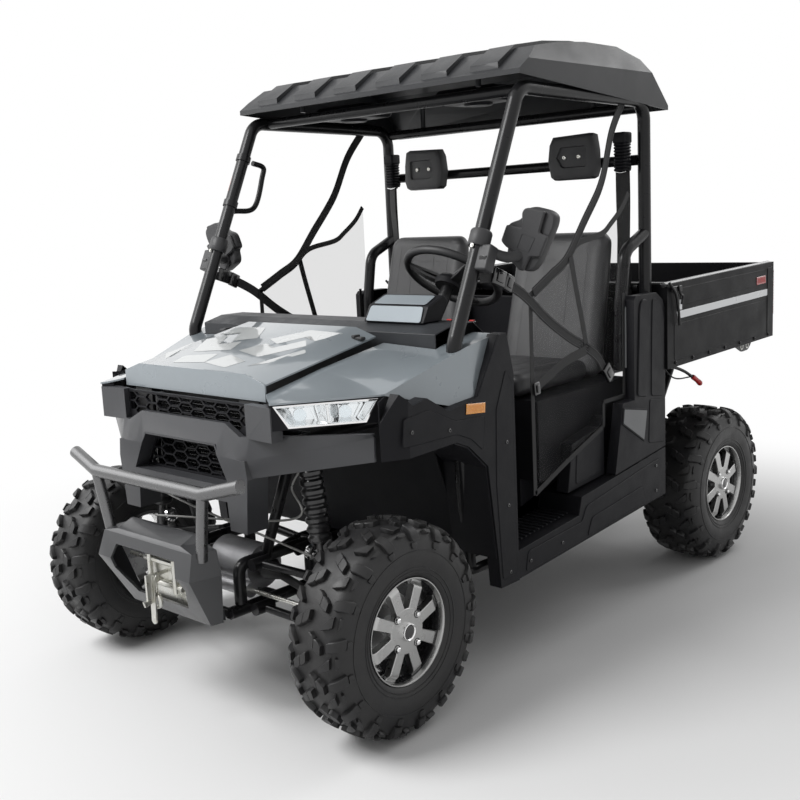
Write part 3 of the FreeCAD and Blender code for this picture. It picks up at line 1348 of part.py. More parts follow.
def grilles():
    lower = hexagonMesh("lower_grille", grilleOutline(size.panel), grilleOutline(-size.mesh_frame),
                        station(size.fascia_face) + size.grille_set_back + size.fit_gap, size.grille_low,
                        size.grille_low_half, 5)
    ledge = table("cheek")[0]["ledge_at"]
    upper = hexagonMesh("upper_grille", slotOutline(size.fit_gap), slotOutline(size.mesh_frame),
                        station(ledge) + size.ledge_depth + size.fit_gap, size.slot_low + size.mesh_half_height * 3,
                        size.slot_half, 3)
    keep("grilles", together("grilles", lower, upper))


def barPost(side):
    # the run of one post from the bar down into the bumper's shelf
    return [(size.bar_flat_half * side, station(size.bar_front), size.bar_height),
            (size.bar_post_foot * side, station(size.bar_post_at), size.bar_post_low)]


def bullBar():
    path = [(-size.bar_end_half, station(size.bar_end_front), size.bar_end_height),
            (-size.bar_flat_half, station(size.bar_front), size.bar_height),
            (size.bar_flat_half, station(size.bar_front), size.bar_height),
            (size.bar_end_half, station(size.bar_end_front), size.bar_end_height)]
    runs = [(path, size.bull_radius, size.bull_bend)]
    for side in (1, -1):
        runs.append((barPost(side), size.bar_post_radius, 1))
    keep("bull_bar", tubes("bull_bar", runs))


def bumperLevel(row, wall):
    # one level of the bumper seen from above, drawn in by the wall and open to the rear
    front = station(row["front"]) + wall
    rear = station(row["rear"]) + (1 if number(wall) else 0)
    return sided([(row["half"] - wall, front), (row["rear_half"] - wall, rear)])


def bumper():
    rows = table("bumper")
    form = body("bumper_form")
    loft(form, "XY", [(row["height"], bumperLevel(row, sized(0))) for row in rows])
    hollow = body("bumper_hollow")
    wall = size.bumper_wall
    heights = [rows[0]["height"] + wall] + [row["height"] for row in rows[1:-1]] + [rows[-1]["height"] - wall]
    loft(hollow, "XY", [(height - (wall if row is rows[-2] else 0), bumperLevel(row, wall))
                        for height, row in zip(heights, rows)])
    mouth = [(row["across"], row["height"]) for row in table("mouth")]
    opening = prism("bumper_mouth", "XZ", station(rows[1]["front"]) - 1, station(rows[0]["rear"]) + 1,
                    [sided(mouth)])
    shell = cut("bumper_shell", form, hollow, opening)
    nose = station(size.rail_front) - size.cross_radius - size.fit_gap
    brackets = []
    for side in (1, -1):
        ends = (size.bracket_half, size.bracket_half + size.lug_thick)
        ends = ends if side > 0 else (-ends[1], -ends[0])
        brackets.append(prism(f"bumper_bracket_{side + 1}", "YZ", *ends,
                              loops=[[(station(rows[0]["rear"]) - size.lug_thick,
                                       rows[0]["height"] + wall / 2),
                                      (nose, size.rail_height - size.cross_radius),
                                      (nose, size.rail_height + size.cross_radius),
                                      (station(rows[0]["rear"]) - size.lug_thick,
                                       mouth[0][1] - wall / 2)]]))
    bores = [tubes(f"bar_bore_{side + 1}", [(barPost(side), size.bar_post_radius + size.fit_gap, 1)])
             for side in (1, -1)]
    keep("winch_bumper", cut("winch_bumper_shape", fuse("bumper_full", shell, *brackets), *bores))
    fairlead = body("fairlead")
    front = station(rows[1]["front"]) + size.winch_set_back
    low = mouth[0][1] - size.mouth_lap
    high = mouth[-1][1] + size.mouth_lap
    half = size.winch_half
    radius = size.roller_radius
    middle = (low + high) / 2
    pad(fairlead, "XZ", front, front + size.lug_thick, [rectangle(-half, low, half, high)])
    pad(fairlead, "YZ", -half + radius, half - radius,
        circles=[(front - radius + 1, middle + size.roller_rise, radius),
                 (front - radius + 1, middle - size.roller_rise, radius)])
    for across in (-size.roller_half, size.roller_half):
        pad(fairlead, "XY", middle - size.roller_rise * 1.5, middle + size.roller_rise * 1.5,
            circles=[(across, front - radius * 1.7, radius * 0.9)])
    drum = prism("winch_drum", "YZ", -half + radius, half - radius,
                 circles=[(front + size.lug_thick + size.drum_radius + size.fit_gap, middle,
                           size.drum_radius)])
    hook = body("tow_hook")
    neck = front - size.fit_gap
    eye = neck - radius * 4 - size.hook_reach
    foot = middle - size.hook_drop
    pad(hook, "YZ", -radius / 2, radius / 2,
        [[(eye, middle + radius), (neck, middle + radius), (neck, middle), (eye + radius * 2, middle),
          (eye + radius * 2, foot), (eye - radius, foot - radius), (eye - radius * 1.6, foot + radius),
          (eye, foot + radius)]])
    keep("fairlead", together("fairlead", fairlead, drum, hook))


# ------------------------------------------------------------------ bed
def bed():
    front = tail(size.bed_front)
    rear = tail(size.bed_rear)
    half = bedHalf
    wall = size.bed_wall
    gatePin = rear - size.tailgate_thick / 2
    made = body("bed")
    outline = [(front, size.bed_low), (rear, size.bed_low + size.bed_fall), (rear, size.bed_top_rear),
               (front, size.bed_top_front)]
    pad(made, "YZ", -half, half, [outline])
    inner = [(front + wall, size.bed_floor), (rear + 1, size.bed_floor), (rear + 1, size.bed_top_rear + 1),
             (front + wall, size.bed_top_rear + 1)]
    pocket(made, "YZ", -half + wall, half - wall, [inner])
    sillEnd = gatePin - size.tailgate_knuckle - size.swing_gap
    pocket(made, "XY", size.bed_low - 1, size.bed_floor + 1,
           [rectangle(-half + wall, sillEnd, half - wall, rear + 1)])
    pad(made, "YZ", -half + wall / 2, half - wall / 2, circles=[(gatePin, size.tailgate_pin_height,
                                                                 size.tailgate_pin)])
    hinge = tail(size.bed_hinge)
    height = size.bed_rail_height
    reach = size.bed_pin * 2
    inside = size.tower_half + size.rail_radius + size.running_gap
    for side in (1, -1):
        ends = (inside, inside + size.lug_thick) if side > 0 else (-inside - size.lug_thick, -inside)
        pad(made, "YZ", *ends, loops=[[(hinge - reach, height - reach), (hinge + reach, height - reach),
                                       (hinge + reach * 3, size.bed_low + size.bed_fall),
                                       (hinge - reach * 3, size.bed_low + size.bed_fall)]])
        pocket(made, "YZ", *ends, circles=[(hinge, height, size.bed_pin + size.fit_gap)])
    keep("bed", made)
    gateHalf = half - wall - size.swing_gap
    gate = prism("tailgate", "XZ", rear - size.tailgate_thick, rear,
                 [rectangle(-gateHalf, size.tailgate_pin_height, gateHalf, size.bed_top_rear - 2)])
    pad(gate, "YZ", -gateHalf, gateHalf, circles=[(gatePin, size.tailgate_pin_height,
                                                   size.tailgate_knuckle)])
    pocket(gate, "YZ", -gateHalf - 1, gateHalf + 1,
           circles=[(gatePin, size.tailgate_pin_height, size.tailgate_pin + size.fit_gap)])
    keep("tailgate", gate)


def hitch():
    made = body("hitch_receiver")
    start = tail(size.rail_rear) - size.hitch_length / 2
    end = start + size.hitch_length
    outer = size.hitch_half
    bore = size.hitch_bore_half
    height = size.rail_height + size.cross_radius + size.fit_gap + outer
    pad(made, "XZ", start, end, [rectangle(-outer, height - outer, outer, height + outer)])
    pocket(made, "XZ", start - 1, end + 1, [rectangle(-bore, height - bore, bore, height + bore)])
    keep("hitch_receiver", made)


# ------------------------------------------------------------------ nets and mirrors
def nets():
    gap = size.running_gap
    rear = station(size.quarter_front)
    foot = station(size.quarter_foot_front)
    outline = [(rear + size.net_rise, size.net_high), (station(size.pillar_top) + size.net_slack,
                                                       size.net_middle),
               (station(size.pillar_top), size.quarter_shelf), (station(size.pillar_top), size.net_low),
               (foot - gap, size.net_rear_low), (foot - gap, size.quarter_shelf + gap),
               (rear - gap, size.quarter_shelf + gap), (rear - gap, size.quarter_high + gap),
               (rear + size.net_rise, size.quarter_high + gap)]
    inside = cageHalf + size.guard_radius + size.fit_gap
    net = prism("left_side_net", "YZ", inside, inside + size.net_thick, [outline])
    keep("side_nets", bothSides("side_nets", net))


def mirrors():
    housing = body("mirror_housing")
    front = station(size.mirror_station)
    pad(housing, "XZ", front, front + size.mirror_depth,
        [[(mirrorAcross + row["across"], size.mirror_height + row["height"]) for row in table("housing")]])
    rise = (size.mirror_height - size.pillar_base_height) / (size.cage_top_front - size.pillar_base_height)
    pillar = station(size.pillar_base) + (size.pillar_top - size.pillar_base) * rise
    elbow = mirrorAcross - size.mirror_bend
    arm = tubes("mirror_arm", [([(cageHalf, pillar, size.mirror_height),
                                 (elbow, pillar + size.mirror_bend, size.mirror_height),
                                 (elbow, front + size.mirror_arm, size.mirror_height)],
                                size.mirror_arm, size.mirror_bend)])
    seat = rod("mirror_clamp_bore", (cageHalf, station(size.pillar_base), size.pillar_base_height),
               (cageHalf, station(size.pillar_top), size.cage_top_front), size.cage_radius + size.fit_gap)
    made = cut("left_mirror", fuse("mirror_shape", housing, arm), seat)
    keep("mirrors", bothSides("mirrors", made))


def beltReels():
    reel = body("left_belt_reel")
    across = size.belt_across
    half = size.belt_half
    behind = station(size.post_station) - size.bar_radius - size.fit_gap
    pad(reel, "YZ", across - half, across + half,
        [rectangle(behind - half * 2, size.belt_low, behind, size.belt_high)])
    soften(reel, half / 2, lambda edge: abs(edge.BoundBox.XLength) > 1)
    keep("belt_reels", bothSides("belt_reels", reel))


def grabHandle():
    # a bent grip standing off the passenger's front pillar
    pillar = pillarRoute(-1)
    low = toward(pillar[1], pillar[2], size.grab_low)
    high = toward(pillar[1], pillar[2], size.grab_high)
    off = size.cage_radius + size.fit_gap
    ends = [(number(x), number(y) - number(off), number(z)) for x, y, z in (low, high)]
    path = [ends[0], (ends[0][0], ends[0][1] - number(size.grab_reach), ends[0][2]),
            (ends[1][0], ends[1][1] - number(size.grab_reach), ends[1][2]), ends[1]]
    handle = tubes("grab_loop", [(path, size.grab_radius, size.grab_radius * 2)])
    keep("grab_handle", cut("grab_handle_shape", handle, pillarBores(size.fit_gap)[1]))


def tailLamps():
    rear = tail(size.bed_rear)
    lamp = prism("left_tail_lamp", "XZ", rear + size.fit_gap, rear + size.lamp_thick,
                 [rectangle(bedHalf - size.tail_lamp_width, size.tail_lamp_low, bedHalf,
                            size.tail_lamp_high)])
    keep("tail_lamps", bothSides("tail_lamps", lamp))


# ------------------------------------------------------------------ the whole vehicle
for build in (wheels, knuckles, suspension, frames, engineBay, cabTub, sill, quarterPanels, seats, dash,
              steering,
              cage, roof, hood, fender, lamps, fascia, grilles, bullBar, bumper, bed, hitch, nets, mirrors,
              beltReels, grabHandle, tailLamps):
    build()
doc.recompute()

faults = [item.Label for item in doc.Objects if "Invalid" in item.State or "Error" in item.State]
faults += [label for label, thing in pieces.items() if not thing.Shape.Solids or not thing.Shape.isValid()]
if faults:
    raise ValueError("could not be built: " + ", ".join(faults))

os.makedirs("parts", exist_ok=True)
for label, thing in pieces.items():
    thing.Shape.exportStep(f"parts/{label}.step")
    box = thing.Shape.BoundBox
    print(label, len(thing.Shape.Solids), "solids", *(round(value) for value in (
        box.XMin, box.XMax, box.YMin, box.YMax, box.ZMin, box.ZMax)))
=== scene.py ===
import json
import math

import bmesh
import bpy
import numpy as np
from mathutils import Matrix, Vector
from mathutils.bvhtree import BVHTree


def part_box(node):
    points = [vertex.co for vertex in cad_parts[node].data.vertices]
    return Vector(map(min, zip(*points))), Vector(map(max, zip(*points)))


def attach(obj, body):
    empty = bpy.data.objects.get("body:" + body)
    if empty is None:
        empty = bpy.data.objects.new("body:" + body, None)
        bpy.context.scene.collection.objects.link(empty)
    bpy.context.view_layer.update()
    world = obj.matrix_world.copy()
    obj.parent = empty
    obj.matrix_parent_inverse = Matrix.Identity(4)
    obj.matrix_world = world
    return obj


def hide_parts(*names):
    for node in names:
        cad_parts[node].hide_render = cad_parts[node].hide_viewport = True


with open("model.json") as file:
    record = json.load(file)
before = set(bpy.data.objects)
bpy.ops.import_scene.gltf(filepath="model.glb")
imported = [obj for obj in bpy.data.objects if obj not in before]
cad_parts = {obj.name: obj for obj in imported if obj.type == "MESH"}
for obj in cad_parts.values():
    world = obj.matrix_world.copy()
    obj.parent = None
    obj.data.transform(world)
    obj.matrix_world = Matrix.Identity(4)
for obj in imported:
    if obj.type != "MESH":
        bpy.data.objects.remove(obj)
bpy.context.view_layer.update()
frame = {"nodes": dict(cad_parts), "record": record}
nodes = frame["nodes"]
chassis = "chassis"
bodyOf = {node: body for body, held in frame["record"]["behaviour"]["bodies"].items() for node in held}
slotOf = {part["node"]: part["material_slot"] for part in frame["record"]["subparts"]}


def setUpView():
    # the camera's yaw, downward pitch and roll, in degrees
    view = {"place": (2.631, -3.069, 1.462), "yaw": 42.95, "pitch": 9.91, "roll": -2.77, "lens": 47.97}
    yaw, pitch, roll = (math.radians(view[key]) for key in ("yaw", "pitch", "roll"))
    forward = Vector((-math.sin(yaw) * math.cos(pitch), math.cos(yaw) * math.cos(pitch), -math.sin(pitch)))
    right = Vector((math.cos(yaw), math.sin(yaw), 0))
    up = right.cross(forward)
    across = right * math.cos(roll) + up * math.sin(roll)
    above = up * math.cos(roll) - right * math.sin(roll)
    camera = bpy.data.objects.new("camera", bpy.data.cameras.new("camera"))
    camera.data.lens = view["lens"]
    camera.data.clip_end = 60
    columns = Matrix((across, above, -forward)).transposed()
    camera.matrix_world = Matrix.Translation(view["place"]) @ columns.to_4x4()
    bpy.context.collection.objects.link(camera)
    bpy.context.scene.camera = camera
    bpy.context.scene.view_settings.view_transform = "Standard"


def seenWhite(tree, level):
    # white to the camera, to reflections and through glass; the given level to everything that it lights
    path = tree.nodes.new("ShaderNodeLightPath")
    total = level
    for ray in ("Is Camera Ray", "Is Glossy Ray", "Is Transmission Ray"):
        step = tree.nodes.new("ShaderNodeMath")
        step.operation = "MAXIMUM"
        tree.links.new(path.outputs[ray], step.inputs[0])
        if isinstance(total, float):
            step.inputs[1].default_value = total
        else:
            tree.links.new(total, step.inputs[1])
        total = step.outputs[0]
    return total


def setUpStage():
    # a pale floor, a soft key high at the front right, a fill beside it, a rim light behind and an even sky
    light = {"sky": 0.36, "floor": 0.8, "aim": (0, 0, 0.7), "fade": (1.3, 3.2),
             "lamps": {"key": ((-1.8, -4.4, 5.2), 3.0, 340), "fill": ((-4.5, -2.5, 3.2), 3.5, 60),
                       "rim": ((1.5, 5.0, 4.5), 3.5, 90)}}
    world = bpy.data.worlds.new("studio")
    bpy.context.scene.world = world
    world.use_nodes = True
    tree = world.node_tree
    background = tree.nodes["Background"]
    tree.links.new(seenWhite(tree, light["sky"]), background.inputs["Strength"])
    background.inputs["Color"].default_value = (1, 1, 1, 1)
    for name, (place, size, power) in light["lamps"].items():
        lamp = bpy.data.lights.new(name, "AREA")
        lamp.energy = power
        lamp.size = size
        holder = bpy.data.objects.new(name, lamp)
        holder.location = place
        holder.rotation_mode = "QUATERNION"
        holder.rotation_quaternion = (Vector(light["aim"]) - Vector(place)).to_track_quat("-Z", "Y")
        bpy.context.collection.objects.link(holder)
    mesh = bpy.data.meshes.new("floor")
    mesh.from_pydata([(-30, -30, 0), (30, -30, 0), (30, 30, 0), (-30, 30, 0)], [], [(0, 1, 2, 3)])
    floor = bpy.data.objects.new("floor", mesh)
    bpy.context.collection.objects.link(floor)
    pale = bpy.data.materials.new("pale floor")
    pale.use_nodes = True
    tree = pale.node_tree
    shader = tree.nodes["Principled BSDF"]
    shader.inputs["Base Color"].default_value = (light["floor"], light["floor"], light["floor"], 1)
    shader.inputs["Roughness"].default_value = 0.9
    shader.inputs["Specular IOR Level"].default_value = 0.1
    # far from the vehicle the floor turns into the plain white of the backdrop
    place = tree.nodes.new("ShaderNodeTexCoord")
    reach = tree.nodes.new("ShaderNodeVectorMath")
    reach.operation = "LENGTH"
    fade = tree.nodes.new("ShaderNodeMapRange")
    fade.interpolation_type = "SMOOTHSTEP"
    fade.inputs["From Min"].default_value = light["fade"][0]
    fade.inputs["From Max"].default_value = light["fade"][1]
    white = tree.nodes.new("ShaderNodeEmission")
    blend = tree.nodes.new("ShaderNodeMixShader")
    tree.links.new(place.outputs["Object"], reach.inputs[0])
    tree.links.new(reach.outputs["Value"], fade.inputs["Value"])
    path = tree.nodes.new("ShaderNodeLightPath")
    seen = tree.nodes.new("ShaderNodeMath")
    seen.operation = "MULTIPLY"
    tree.links.new(fade.outputs["Result"], seen.inputs[0])
    either = tree.nodes.new("ShaderNodeMath")
    either.operation = "MAXIMUM"
    tree.links.new(path.outputs["Is Camera Ray"], either.inputs[0])
    tree.links.new(path.outputs["Is Glossy Ray"], either.inputs[1])
    tree.links.new(either.outputs[0], seen.inputs[1])
    tree.links.new(seen.outputs[0], blend.inputs[0])
    tree.links.new(shader.outputs[0], blend.inputs[1])
    tree.links.new(white.outputs[0], blend.inputs[2])
    # from below the floor is clear
    under = tree.nodes.new("ShaderNodeNewGeometry")
    clear = tree.nodes.new("ShaderNodeBsdfTransparent")
    oneSided = tree.nodes.new("ShaderNodeMixShader")
    tree.links.new(under.outputs["Backfacing"], oneSided.inputs[0])
    tree.links.new(blend.outputs[0], oneSided.inputs[1])
    tree.links.new(clear.outputs[0], oneSided.inputs[2])
    tree.links.new(oneSided.outputs[0], tree.nodes["Material Output"].inputs["Surface"])
    mesh.materials.append(pale)


setUpView()
setUpStage()


def noiseBetween(tree, place, scale, detail, reach, low, high):
    # a soft noise whose values within reach are spread between low and high
    noise = tree.nodes.new("ShaderNodeTexNoise")
    noise.inputs["Scale"].default_value = scale
    noise.inputs["Detail"].default_value = detail
    tree.links.new(place.outputs["Object"], noise.inputs["Vector"])
    spread = tree.nodes.new("ShaderNodeMapRange")
    for socket, value in (("From Min", reach[0]), ("From Max", reach[1]), ("To Min", low), ("To Max", high)):
        spread.inputs[socket].default_value = value
    tree.links.new(noise.outputs["Fac"], spread.inputs["Value"])
    return spread.outputs["Result"]


def surface(name, colour, roughness, metal=0.0, coat=0.0, grain=None, mottle=None, rub=None, **sockets):
    # one finish: a Principled shader with a mottled colour, an uneven roughness and bumps
    made = bpy.data.materials.new(name)
    made.use_nodes = True
    tree = made.node_tree
    shader = tree.nodes["Principled BSDF"]
    shader.inputs["Base Color"].default_value = (*colour, 1)
    shader.inputs["Roughness"].default_value = roughness
    shader.inputs["Metallic"].default_value = metal
    shader.inputs["Coat Weight"].default_value = coat
    for socket, value in sockets.items():
        shader.inputs[socket.replace("_", " ")].default_value = value
    place = tree.nodes.new("ShaderNodeTexCoord")
    if mottle:
        # the colour drifts between two near shades
        scale, other, amount = mottle
        mix = tree.nodes.new("ShaderNodeMix")
        mix.data_type = "RGBA"
        mix.inputs["A"].default_value = (*colour, 1)
        mix.inputs["B"].default_value = (*other, 1)
        tree.links.new(noiseBetween(tree, place, scale, 6, (0.35, 0.7), 0, amount), mix.inputs["Factor"])
        tree.links.new(mix.outputs["Result"], shader.inputs["Base Color"])
    if rub:
        scale, low, high = rub
        tree.links.new(noiseBetween(tree, place, scale, 4, (0.3, 0.7), low, high), shader.inputs["Roughness"])
    last = None
    for kind, scale, depth in grain or ():
        # each grain is a height in metres: cells for leather-like plastic, noise for cast or sprayed metal
        node = tree.nodes.new({"cells": "ShaderNodeTexVoronoi", "noise": "ShaderNodeTexNoise"}[kind])
        node.inputs["Scale"].default_value = scale
        tree.links.new(place.outputs["Object"], node.inputs["Vector"])
        bump = tree.nodes.new("ShaderNodeBump")
        bump.inputs["Strength"].default_value = 1
        bump.inputs["Distance"].default_value = depth
        tree.links.new(node.outputs[0], bump.inputs["Height"])
        if last:
            tree.links.new(last.outputs["Normal"], bump.inputs["Normal"])
        last = bump
    if last:
        tree.links.new(last.outputs["Normal"], shader.inputs["Normal"])
    return made


plasticGrain = [("cells", 620, 0.00022), ("noise", 60, 0.0003)]
finishes = {
    "tyre": surface("tyre rubber", (0.015, 0.015, 0.016), 0.46, mottle=(9, (0.026, 0.025, 0.024), 0.6),
                    rub=(24, 0.38, 0.54), grain=[("noise", 260, 0.0003), ("noise", 40, 0.0005)],
                    Specular_IOR_Level=0.4),
    "machined_rim": surface("machined rim", (0.44, 0.44, 0.435), 0.3, 1.0, rub=(60, 0.25, 0.36),
                            grain=[("noise", 900, 0.0001)]),
    "rimBlack": surface("gloss black rim", (0.008, 0.008, 0.009), 0.22, coat=0.7, rub=(40, 0.18, 0.3)),
    "chrome": surface("chrome", (0.82, 0.82, 0.82), 0.09, 1.0, rub=(50, 0.06, 0.14)),
    "black_tube": surface("black powder coat", (0.010, 0.010, 0.011), 0.3, coat=0.15, rub=(20, 0.24, 0.38),
                          grain=[("noise", 420, 0.0002)], Specular_IOR_Level=0.2),
    "zinc": surface("zinc plate", (0.62, 0.62, 0.59), 0.32, 1.0, mottle=(40, (0.5, 0.48, 0.4), 0.5),
                    rub=(30, 0.22, 0.42)),
    "cast_alloy": surface("cast alloy", (0.33, 0.33, 0.34), 0.5, 1.0, rub=(26, 0.4, 0.6),
                          grain=[("noise", 380, 0.0005)]),
    "engine_block": surface("painted casting", (0.03, 0.03, 0.032), 0.55,
                            mottle=(18, (0.05, 0.048, 0.045), 0.6), grain=[("noise", 300, 0.0006)]),
    "exhaust": surface("dull steel", (0.3, 0.28, 0.26), 0.45, 1.0, mottle=(14, (0.2, 0.17, 0.14), 0.7),
                       rub=(20, 0.36, 0.58), grain=[("noise", 200, 0.0002)]),
    "spring": surface("black spring", (0.012, 0.012, 0.013), 0.33, coat=0.4, rub=(60, 0.26, 0.42)),
    "boot": surface("boot rubber", (0.016, 0.016, 0.017), 0.55, mottle=(30, (0.03, 0.03, 0.03), 0.5),
                    grain=[("noise", 300, 0.0003)]),
    "cab_plastic": surface("black grained plastic", (0.010, 0.010, 0.012), 0.44,
                           mottle=(5, (0.014, 0.014, 0.016), 0.6), rub=(16, 0.38, 0.5), grain=plasticGrain,
                           Specular_IOR_Level=0.14),
    "trim_plastic": surface("dark grey grained plastic", (0.028, 0.030, 0.033), 0.42,
                            mottle=(4, (0.036, 0.038, 0.042), 0.6), rub=(16, 0.36, 0.48), grain=plasticGrain,
                            Specular_IOR_Level=0.3),
    "paint_blue": surface("blue grey paint", (0.27, 0.305, 0.33), 0.3, 0.25, coat=1.0, rub=(8, 0.26, 0.34),
                          grain=[("noise", 7, 0.0003)], Coat_Roughness=0.05),
    "fascia_plastic": surface("fascia plastic", (0.044, 0.045, 0.049), 0.4,
                              mottle=(4, (0.054, 0.055, 0.060), 0.6), rub=(16, 0.3, 0.42),
                              grain=[("cells", 560, 0.00024), ("noise", 60, 0.0003)], Specular_IOR_Level=0.5),
    "lens": surface("lamp lens", (0.9, 0.92, 0.94), 0.03, Transmission_Weight=1.0, IOR=1.3),
    "bumper_steel": surface("satin dark steel", (0.05, 0.051, 0.054), 0.34, 0.3, coat=0.25,
                            rub=(14, 0.28, 0.42), grain=[("noise", 480, 0.0002)]),
    "bar_steel": surface("brushed dark bar", (0.17, 0.17, 0.172), 0.3, 0.9, rub=(70, 0.24, 0.36),
                         grain=[("noise", 500, 0.00002)]),
    "vinyl": surface("seat vinyl", (0.020, 0.020, 0.022), 0.45, mottle=(6, (0.028, 0.028, 0.030), 0.6),
                     rub=(12, 0.38, 0.54), grain=[("cells", 420, 0.0003)]),
    # the backrest's vinyl is the seat vinyl painted lighter: a painted sheen
    "vinylPaintedSheen": surface("backrest vinyl with painted sheen", (0.050, 0.050, 0.052), 0.42,
                         mottle=(6, (0.062, 0.062, 0.064), 0.6), rub=(12, 0.36, 0.5),
                         grain=[("cells", 420, 0.0003)]),
    "bed_plastic": surface("bed black", (0.008, 0.008, 0.009), 0.4, mottle=(5, (0.012, 0.012, 0.013), 0.6),
                           rub=(12, 0.34, 0.48), grain=[("cells", 520, 0.00025)], Specular_IOR_Level=0.1),
    "net_mesh": surface("net edge", (0.012, 0.012, 0.013), 0.7, grain=[("cells", 900, 0.0004)]),
    "mirror_plastic": surface("mirror housing", (0.050, 0.050, 0.052), 0.42, rub=(14, 0.36, 0.48),
                              grain=[("cells", 620, 0.0002)], Specular_IOR_Level=0.3),
    "wheel_grip": surface("wheel grip", (0.014, 0.014, 0.015), 0.5, rub=(20, 0.42, 0.56),
                          grain=[("cells", 420, 0.0003)]),
    "bare_steel": surface("plain steel", (0.5, 0.5, 0.5), 0.3, 1.0, rub=(30, 0.24, 0.38),
                          grain=[("noise", 400, 0.0002)]),
    "clearGlass": surface("clear pane", (0.95, 0.97, 0.98), 0.02, Transmission_Weight=1.0, IOR=1.12),
    "amber": surface("amber lens", (0.95, 0.33, 0.02), 0.12, coat=0.8, mottle=(60, (0.95, 0.42, 0.04), 0.6)),
    "redLens": surface("red lens", (0.45, 0.008, 0.008), 0.12, coat=0.8,
                       mottle=(60, (0.6, 0.02, 0.015), 0.6)),
    # the bed's lip is coloured lighter than the bed's black
    "bedLip": surface("lighter black lip", (0.05, 0.05, 0.052), 0.25, coat=0.5, rub=(14, 0.2, 0.32)),
    "roofShell": surface("roof plastic", (0.018, 0.019, 0.021), 0.42, coat=0.1,
                         mottle=(4, (0.024, 0.025, 0.028), 0.6), rub=(10, 0.36, 0.48),
                         grain=[("cells", 520, 0.0002)], Specular_IOR_Level=0.3),
    "podPaint": surface("satin blue grey paint", (0.27, 0.305, 0.33), 0.42, 0.1, rub=(8, 0.38, 0.46),
                        grain=[("noise", 300, 0.00005)], Specular_IOR_Level=0.3),
    "gaugeGlass": surface("gauge glass", (0.01, 0.014, 0.018), 0.06, coat=1.0, rub=(14, 0.04, 0.09)),
    "sheer": surface("sheer net", (0.010, 0.010, 0.011), 0.8, mottle=(40, (0.016, 0.016, 0.017), 0.6),
                     Alpha=0.13),
    "palePattern": surface("pale pattern film", (0.56, 0.58, 0.58), 0.3, coat=1.0, rub=(8, 0.26, 0.34),
                           Coat_Roughness=0.05),
    "reddishLabel": surface("plain label", (0.36, 0.11, 0.07), 0.4, rub=(14, 0.36, 0.46)),
    "redPaint": surface("red plastic", (0.5, 0.012, 0.01), 0.35, rub=(30, 0.3, 0.42),
                        grain=[("noise", 300, 0.0001)]),
    "silver": surface("silver stripe", (0.55, 0.56, 0.57), 0.3, 0.6, coat=0.5, rub=(12, 0.26, 0.36)),
    "webbing": surface("webbing", (0.013, 0.013, 0.014), 0.75, mottle=(300, (0.03, 0.03, 0.03), 0.7),
                       grain=[("cells", 1100, 0.0004)]),
    "headFoam": surface("moulded foam skin", (0.045, 0.045, 0.047), 0.55,
                        mottle=(5, (0.06, 0.06, 0.062), 0.6), rub=(12, 0.48, 0.62),
                        grain=[("cells", 700, 0.0002)]),
    "stitch": surface("thread", (0.10, 0.10, 0.105), 0.7, grain=[("noise", 900, 0.0003)]),
    "greyPanel": surface("grey panel", (0.16, 0.165, 0.17), 0.42, rub=(14, 0.36, 0.48),
                         grain=[("cells", 620, 0.0002)]),
    "hose": surface("braided hose", (0.28, 0.28, 0.27), 0.4, 0.5, grain=[("cells", 900, 0.0003)]),
    "reflector": surface("lamp reflector", (0.9, 0.9, 0.9), 0.12, 1.0, rub=(30, 0.08, 0.16)),
    "mirrorGlass": surface("mirror glass", (0.8, 0.82, 0.84), 0.03, 1.0, rub=(20, 0.02, 0.05)),
    "blackGloss": surface("gloss black", (0.006, 0.006, 0.007), 0.12, coat=0.6, rub=(20, 0.1, 0.18)),
}

for part in frame["record"]["subparts"]:
    node = nodes[part["node"]]
    node.data.materials.clear()
    node.data.materials.append(finishes[part["material_slot"]])
print("stage: finishes on", len(nodes), "nodes")


def along(array):
    return np.asarray(array, float)


def meshFrom(name, points, faceSets):
    # corners and faces go in as whole arrays; a face set is one array of faces with equal corner counts
    points = along(points).reshape(-1, 3)
    faceSets = [np.asarray(faces, np.int64) for faces in faceSets if len(faces)]
    corners = np.concatenate([faces.ravel() for faces in faceSets])
    counts = np.concatenate([np.full(len(faces), faces.shape[1]) for faces in faceSets])
    mesh = bpy.data.meshes.new(name)
    mesh.vertices.add(len(points))
    mesh.vertices.foreach_set("co", points.astype(np.float32).ravel())
    mesh.loops.add(len(corners))
    mesh.loops.foreach_set("vertex_index", corners.astype(np.int32))
    mesh.polygons.add(len(counts))
    mesh.polygons.foreach_set("loop_start", np.concatenate([[0], np.cumsum(counts)[:-1]]).astype(np.int32))
    mesh.update(calc_edges=True)
    return mesh


def tidied(mesh):
    # doubles merged, then every face turned outward
    distance = 0.00002
    work = bmesh.new()
    work.from_mesh(mesh)
    bmesh.ops.remove_doubles(work, verts=work.verts, dist=distance)
    bmesh.ops.dissolve_degenerate(work, dist=distance, edges=work.edges)
    bmesh.ops.recalc_face_normals(work, faces=work.faces)
    work.to_mesh(mesh)
    work.free()
    return mesh


def settle(name, mesh, finish, body, smooth=38, bevel=0, replaces=(), slot=None, tidy=True):
    # the mesh becomes a named piece that rides on a body; angles sharper than smooth stay crisp
    if tidy:
        tidied(mesh)
    piece = bpy.data.objects.new(name, mesh)
    bpy.context.collection.objects.link(piece)
    mesh.materials.append(finishes[finish] if isinstance(finish, str) else finish)
    mesh.polygons.foreach_set("use_smooth", np.ones(len(mesh.polygons), bool))
    mesh.set_sharp_from_angle(angle=math.radians(smooth))
    if bevel:
        edge = piece.modifiers.new("edges", "BEVEL")
        edge.width = bevel
        edge.segments = 2
        edge.limit_method = "ANGLE"
        edge.angle_limit = math.radians(28)
        edge.harden_normals = True
        edge.use_clamp_overlap = True
    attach(piece, body)
    if replaces:
        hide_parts(*replaces)
        slot = slot or slotOf[replaces[0]]
    return piece


